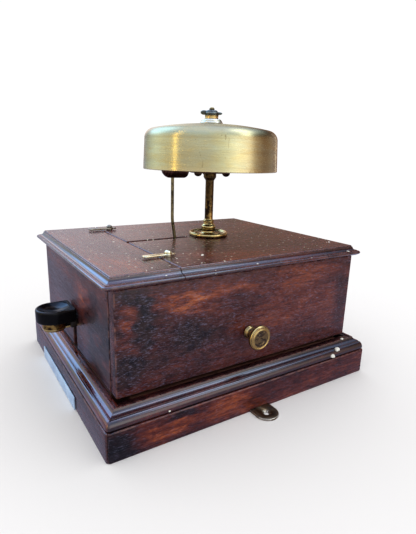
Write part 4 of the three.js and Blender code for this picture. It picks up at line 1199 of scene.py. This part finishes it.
BACKDROP = (0.86, 0.86, 0.87)
LAMP_LOW, LAMP_HIGH = (0.80, 0.79, 0.79), (0.48, 0.48, 0.49)
GROUND = (0.31, 0.32, 0.45)
SKY = (0.56, 0.76, 1.10)
ZENITH = (0.35, 0.40, 0.80)
WALLS = [  # what stands round the table: (degrees from +X, light)
    (-180, (0.30, 0.34, 0.42)), (-160, (0.48, 0.52, 0.52)), (-135, (0.78, 0.84, 0.82)),
    (-122, (0.74, 0.76, 0.74)), (-100, (0.70, 0.63, 0.46)), (-84, (0.58, 0.52, 0.46)),
    (-34, (0.66, 0.66, 0.68)), (-10, (1.00, 1.08, 1.12)), (12, (1.70, 1.76, 1.84)),
    (34, (1.40, 1.24, 1.20)), (47, (0.52, 0.40, 0.34)), (66, (0.24, 0.15, 0.12)), (80, (0.26, 0.18, 0.15)),
    (92, (0.31, 0.26, 0.28)), (112, (0.26, 0.18, 0.17)), (140, (0.32, 0.19, 0.12)),
    (162, (0.34, 0.28, 0.30)), (180, (0.30, 0.34, 0.42)),
]
BOXES = [  # soft boxes: (degrees from +X, degrees up, sharp radius, soft radius, light)
    (164, 18, 6, 18, (0.66, 0.58, 0.56)),
    (150, 32, 6, 20, (0.20, 0.16, 0.08)),
    (-157, 38, 14, 26, (0.65, 1.35, 2.60)),
    (36, 35, 4, 13, (1.90, 2.40, 2.90)),
    (64, 60, 6, 18, (2.00, 2.40, 2.80)),
]
STRIPS = [  # upright strips: (degrees from +X, sharp and soft half width, low and high end, light)
    (-94, 0.6, 1.6, -0.15, 0.75, (4.6, 3.3, 0.9)),
    (113, 0.5, 1.5, -0.15, 0.30, (1.4, 1.4, 1.4)),
]


def direction(degrees, tilt=0.0):
    turn, lift = math.radians(degrees), math.radians(tilt)
    return Vector((math.cos(turn) * math.cos(lift), math.sin(turn) * math.cos(lift), math.sin(lift)))


def world_light():
    """A soft studio seen as light and reflection: a ring of walls, a cool sky and a grey ground."""
    world = bpy.data.worlds.new("studio")
    bpy.context.scene.world = world
    world.cycles.sampling_method = "NONE"
    world.use_nodes = True
    tree = world.node_tree
    tree.nodes.clear()

    def node(kind, *values, **settings):
        made = tree.nodes.new(kind)
        for key, value in settings.items():
            setattr(made, key, value)
        for socket, value in zip(made.inputs, values):
            if isinstance(value, bpy.types.NodeSocket):
                tree.links.new(value, socket)
            else:
                socket.default_value = value
        return made

    def calculate(kind, *values):
        return node("ShaderNodeMath", *values, operation=kind).outputs[0]

    def between(value, low, high):
        return node("ShaderNodeMapRange", value, low, high, interpolation_type="SMOOTHSTEP").outputs["Result"]

    def near_to(ray, aim, sharp, soft):
        """1 where a ray is within the sharp angle of a direction, 0 outside the soft one."""
        close = node("ShaderNodeVectorMath", ray, aim, operation="DOT_PRODUCT").outputs["Value"]
        return between(close, math.cos(math.radians(soft)), math.cos(math.radians(sharp)))

    def add(total, mask, colour):
        scaled = node("ShaderNodeVectorMath", colour, operation="SCALE")
        tree.links.new(mask, scaled.inputs["Scale"])
        return node("ShaderNodeVectorMath", total, scaled.outputs[0], operation="ADD").outputs[0]

    ray = node("ShaderNodeTexCoord").outputs["Generated"]
    parts = node("ShaderNodeSeparateXYZ", ray).outputs
    height = parts["Z"]
    turn = calculate("ARCTAN2", parts["Y"], parts["X"])
    ring = node("ShaderNodeValToRGB", calculate("MULTIPLY_ADD", turn, 0.5 / math.pi, 0.5))
    while len(ring.color_ramp.elements) < len(WALLS):
        ring.color_ramp.elements.new(0.5)
    for element, (degrees, colour) in zip(ring.color_ramp.elements, WALLS):
        element.position = 0.5 + degrees / 360
        element.color = (*colour, 1.0)
    wall = calculate("MULTIPLY", between(height, -0.20, -0.04), between(height, 0.62, 0.16))
    total = add((0.03, 0.03, 0.03), wall, ring.outputs["Color"])
    slope = calculate("MULTIPLY", calculate("MAXIMUM", parts["Y"], 0.0), 0.40)
    above_roofs = calculate("SUBTRACT", height, slope)
    for mask, colour in (
        (between(height, -0.04, -0.24), GROUND),
        (between(above_roofs, 0.10, 0.52), SKY),
        (between(height, 0.60, 0.95), ZENITH),
    ):
        total = add(total, mask, colour)
    for degrees, tilt, sharp, soft, colour in BOXES:
        total = add(total, near_to(ray, direction(degrees, tilt), sharp, soft), colour)
    flat = node("ShaderNodeVectorMath", ray, (1.0, 1.0, 0.0), operation="MULTIPLY").outputs[0]
    flat = node("ShaderNodeVectorMath", flat, operation="NORMALIZE").outputs[0]
    for degrees, sharp, soft, low, high, colour in STRIPS:
        tall = calculate("MULTIPLY", between(height, low, low + 0.08), between(height, high + 0.08, high))
        mask = calculate("MULTIPLY", near_to(flat, direction(degrees), sharp, soft), tall)
        total = add(total, mask, colour)
    paths = node("ShaderNodeLightPath").outputs
    lamp = add(LAMP_LOW, between(height, 0.0, 0.9), LAMP_HIGH)
    glossy = node("ShaderNodeBackground", total, 1.0).outputs[0]
    diffuse = node("ShaderNodeBackground", lamp, 1.0).outputs[0]
    light = node("ShaderNodeMixShader", paths["Is Diffuse Ray"], glossy, diffuse)
    backdrop = node("ShaderNodeBackground", (*BACKDROP, 1.0), 1.0)
    mixed = node("ShaderNodeMixShader", paths["Is Camera Ray"], light.outputs[0], backdrop.outputs[0])
    node("ShaderNodeOutputWorld", mixed.outputs[0])


world_light()
bpy.context.scene.view_settings.view_transform = "Standard"
bpy.context.scene.view_settings.look = "Medium High Contrast"
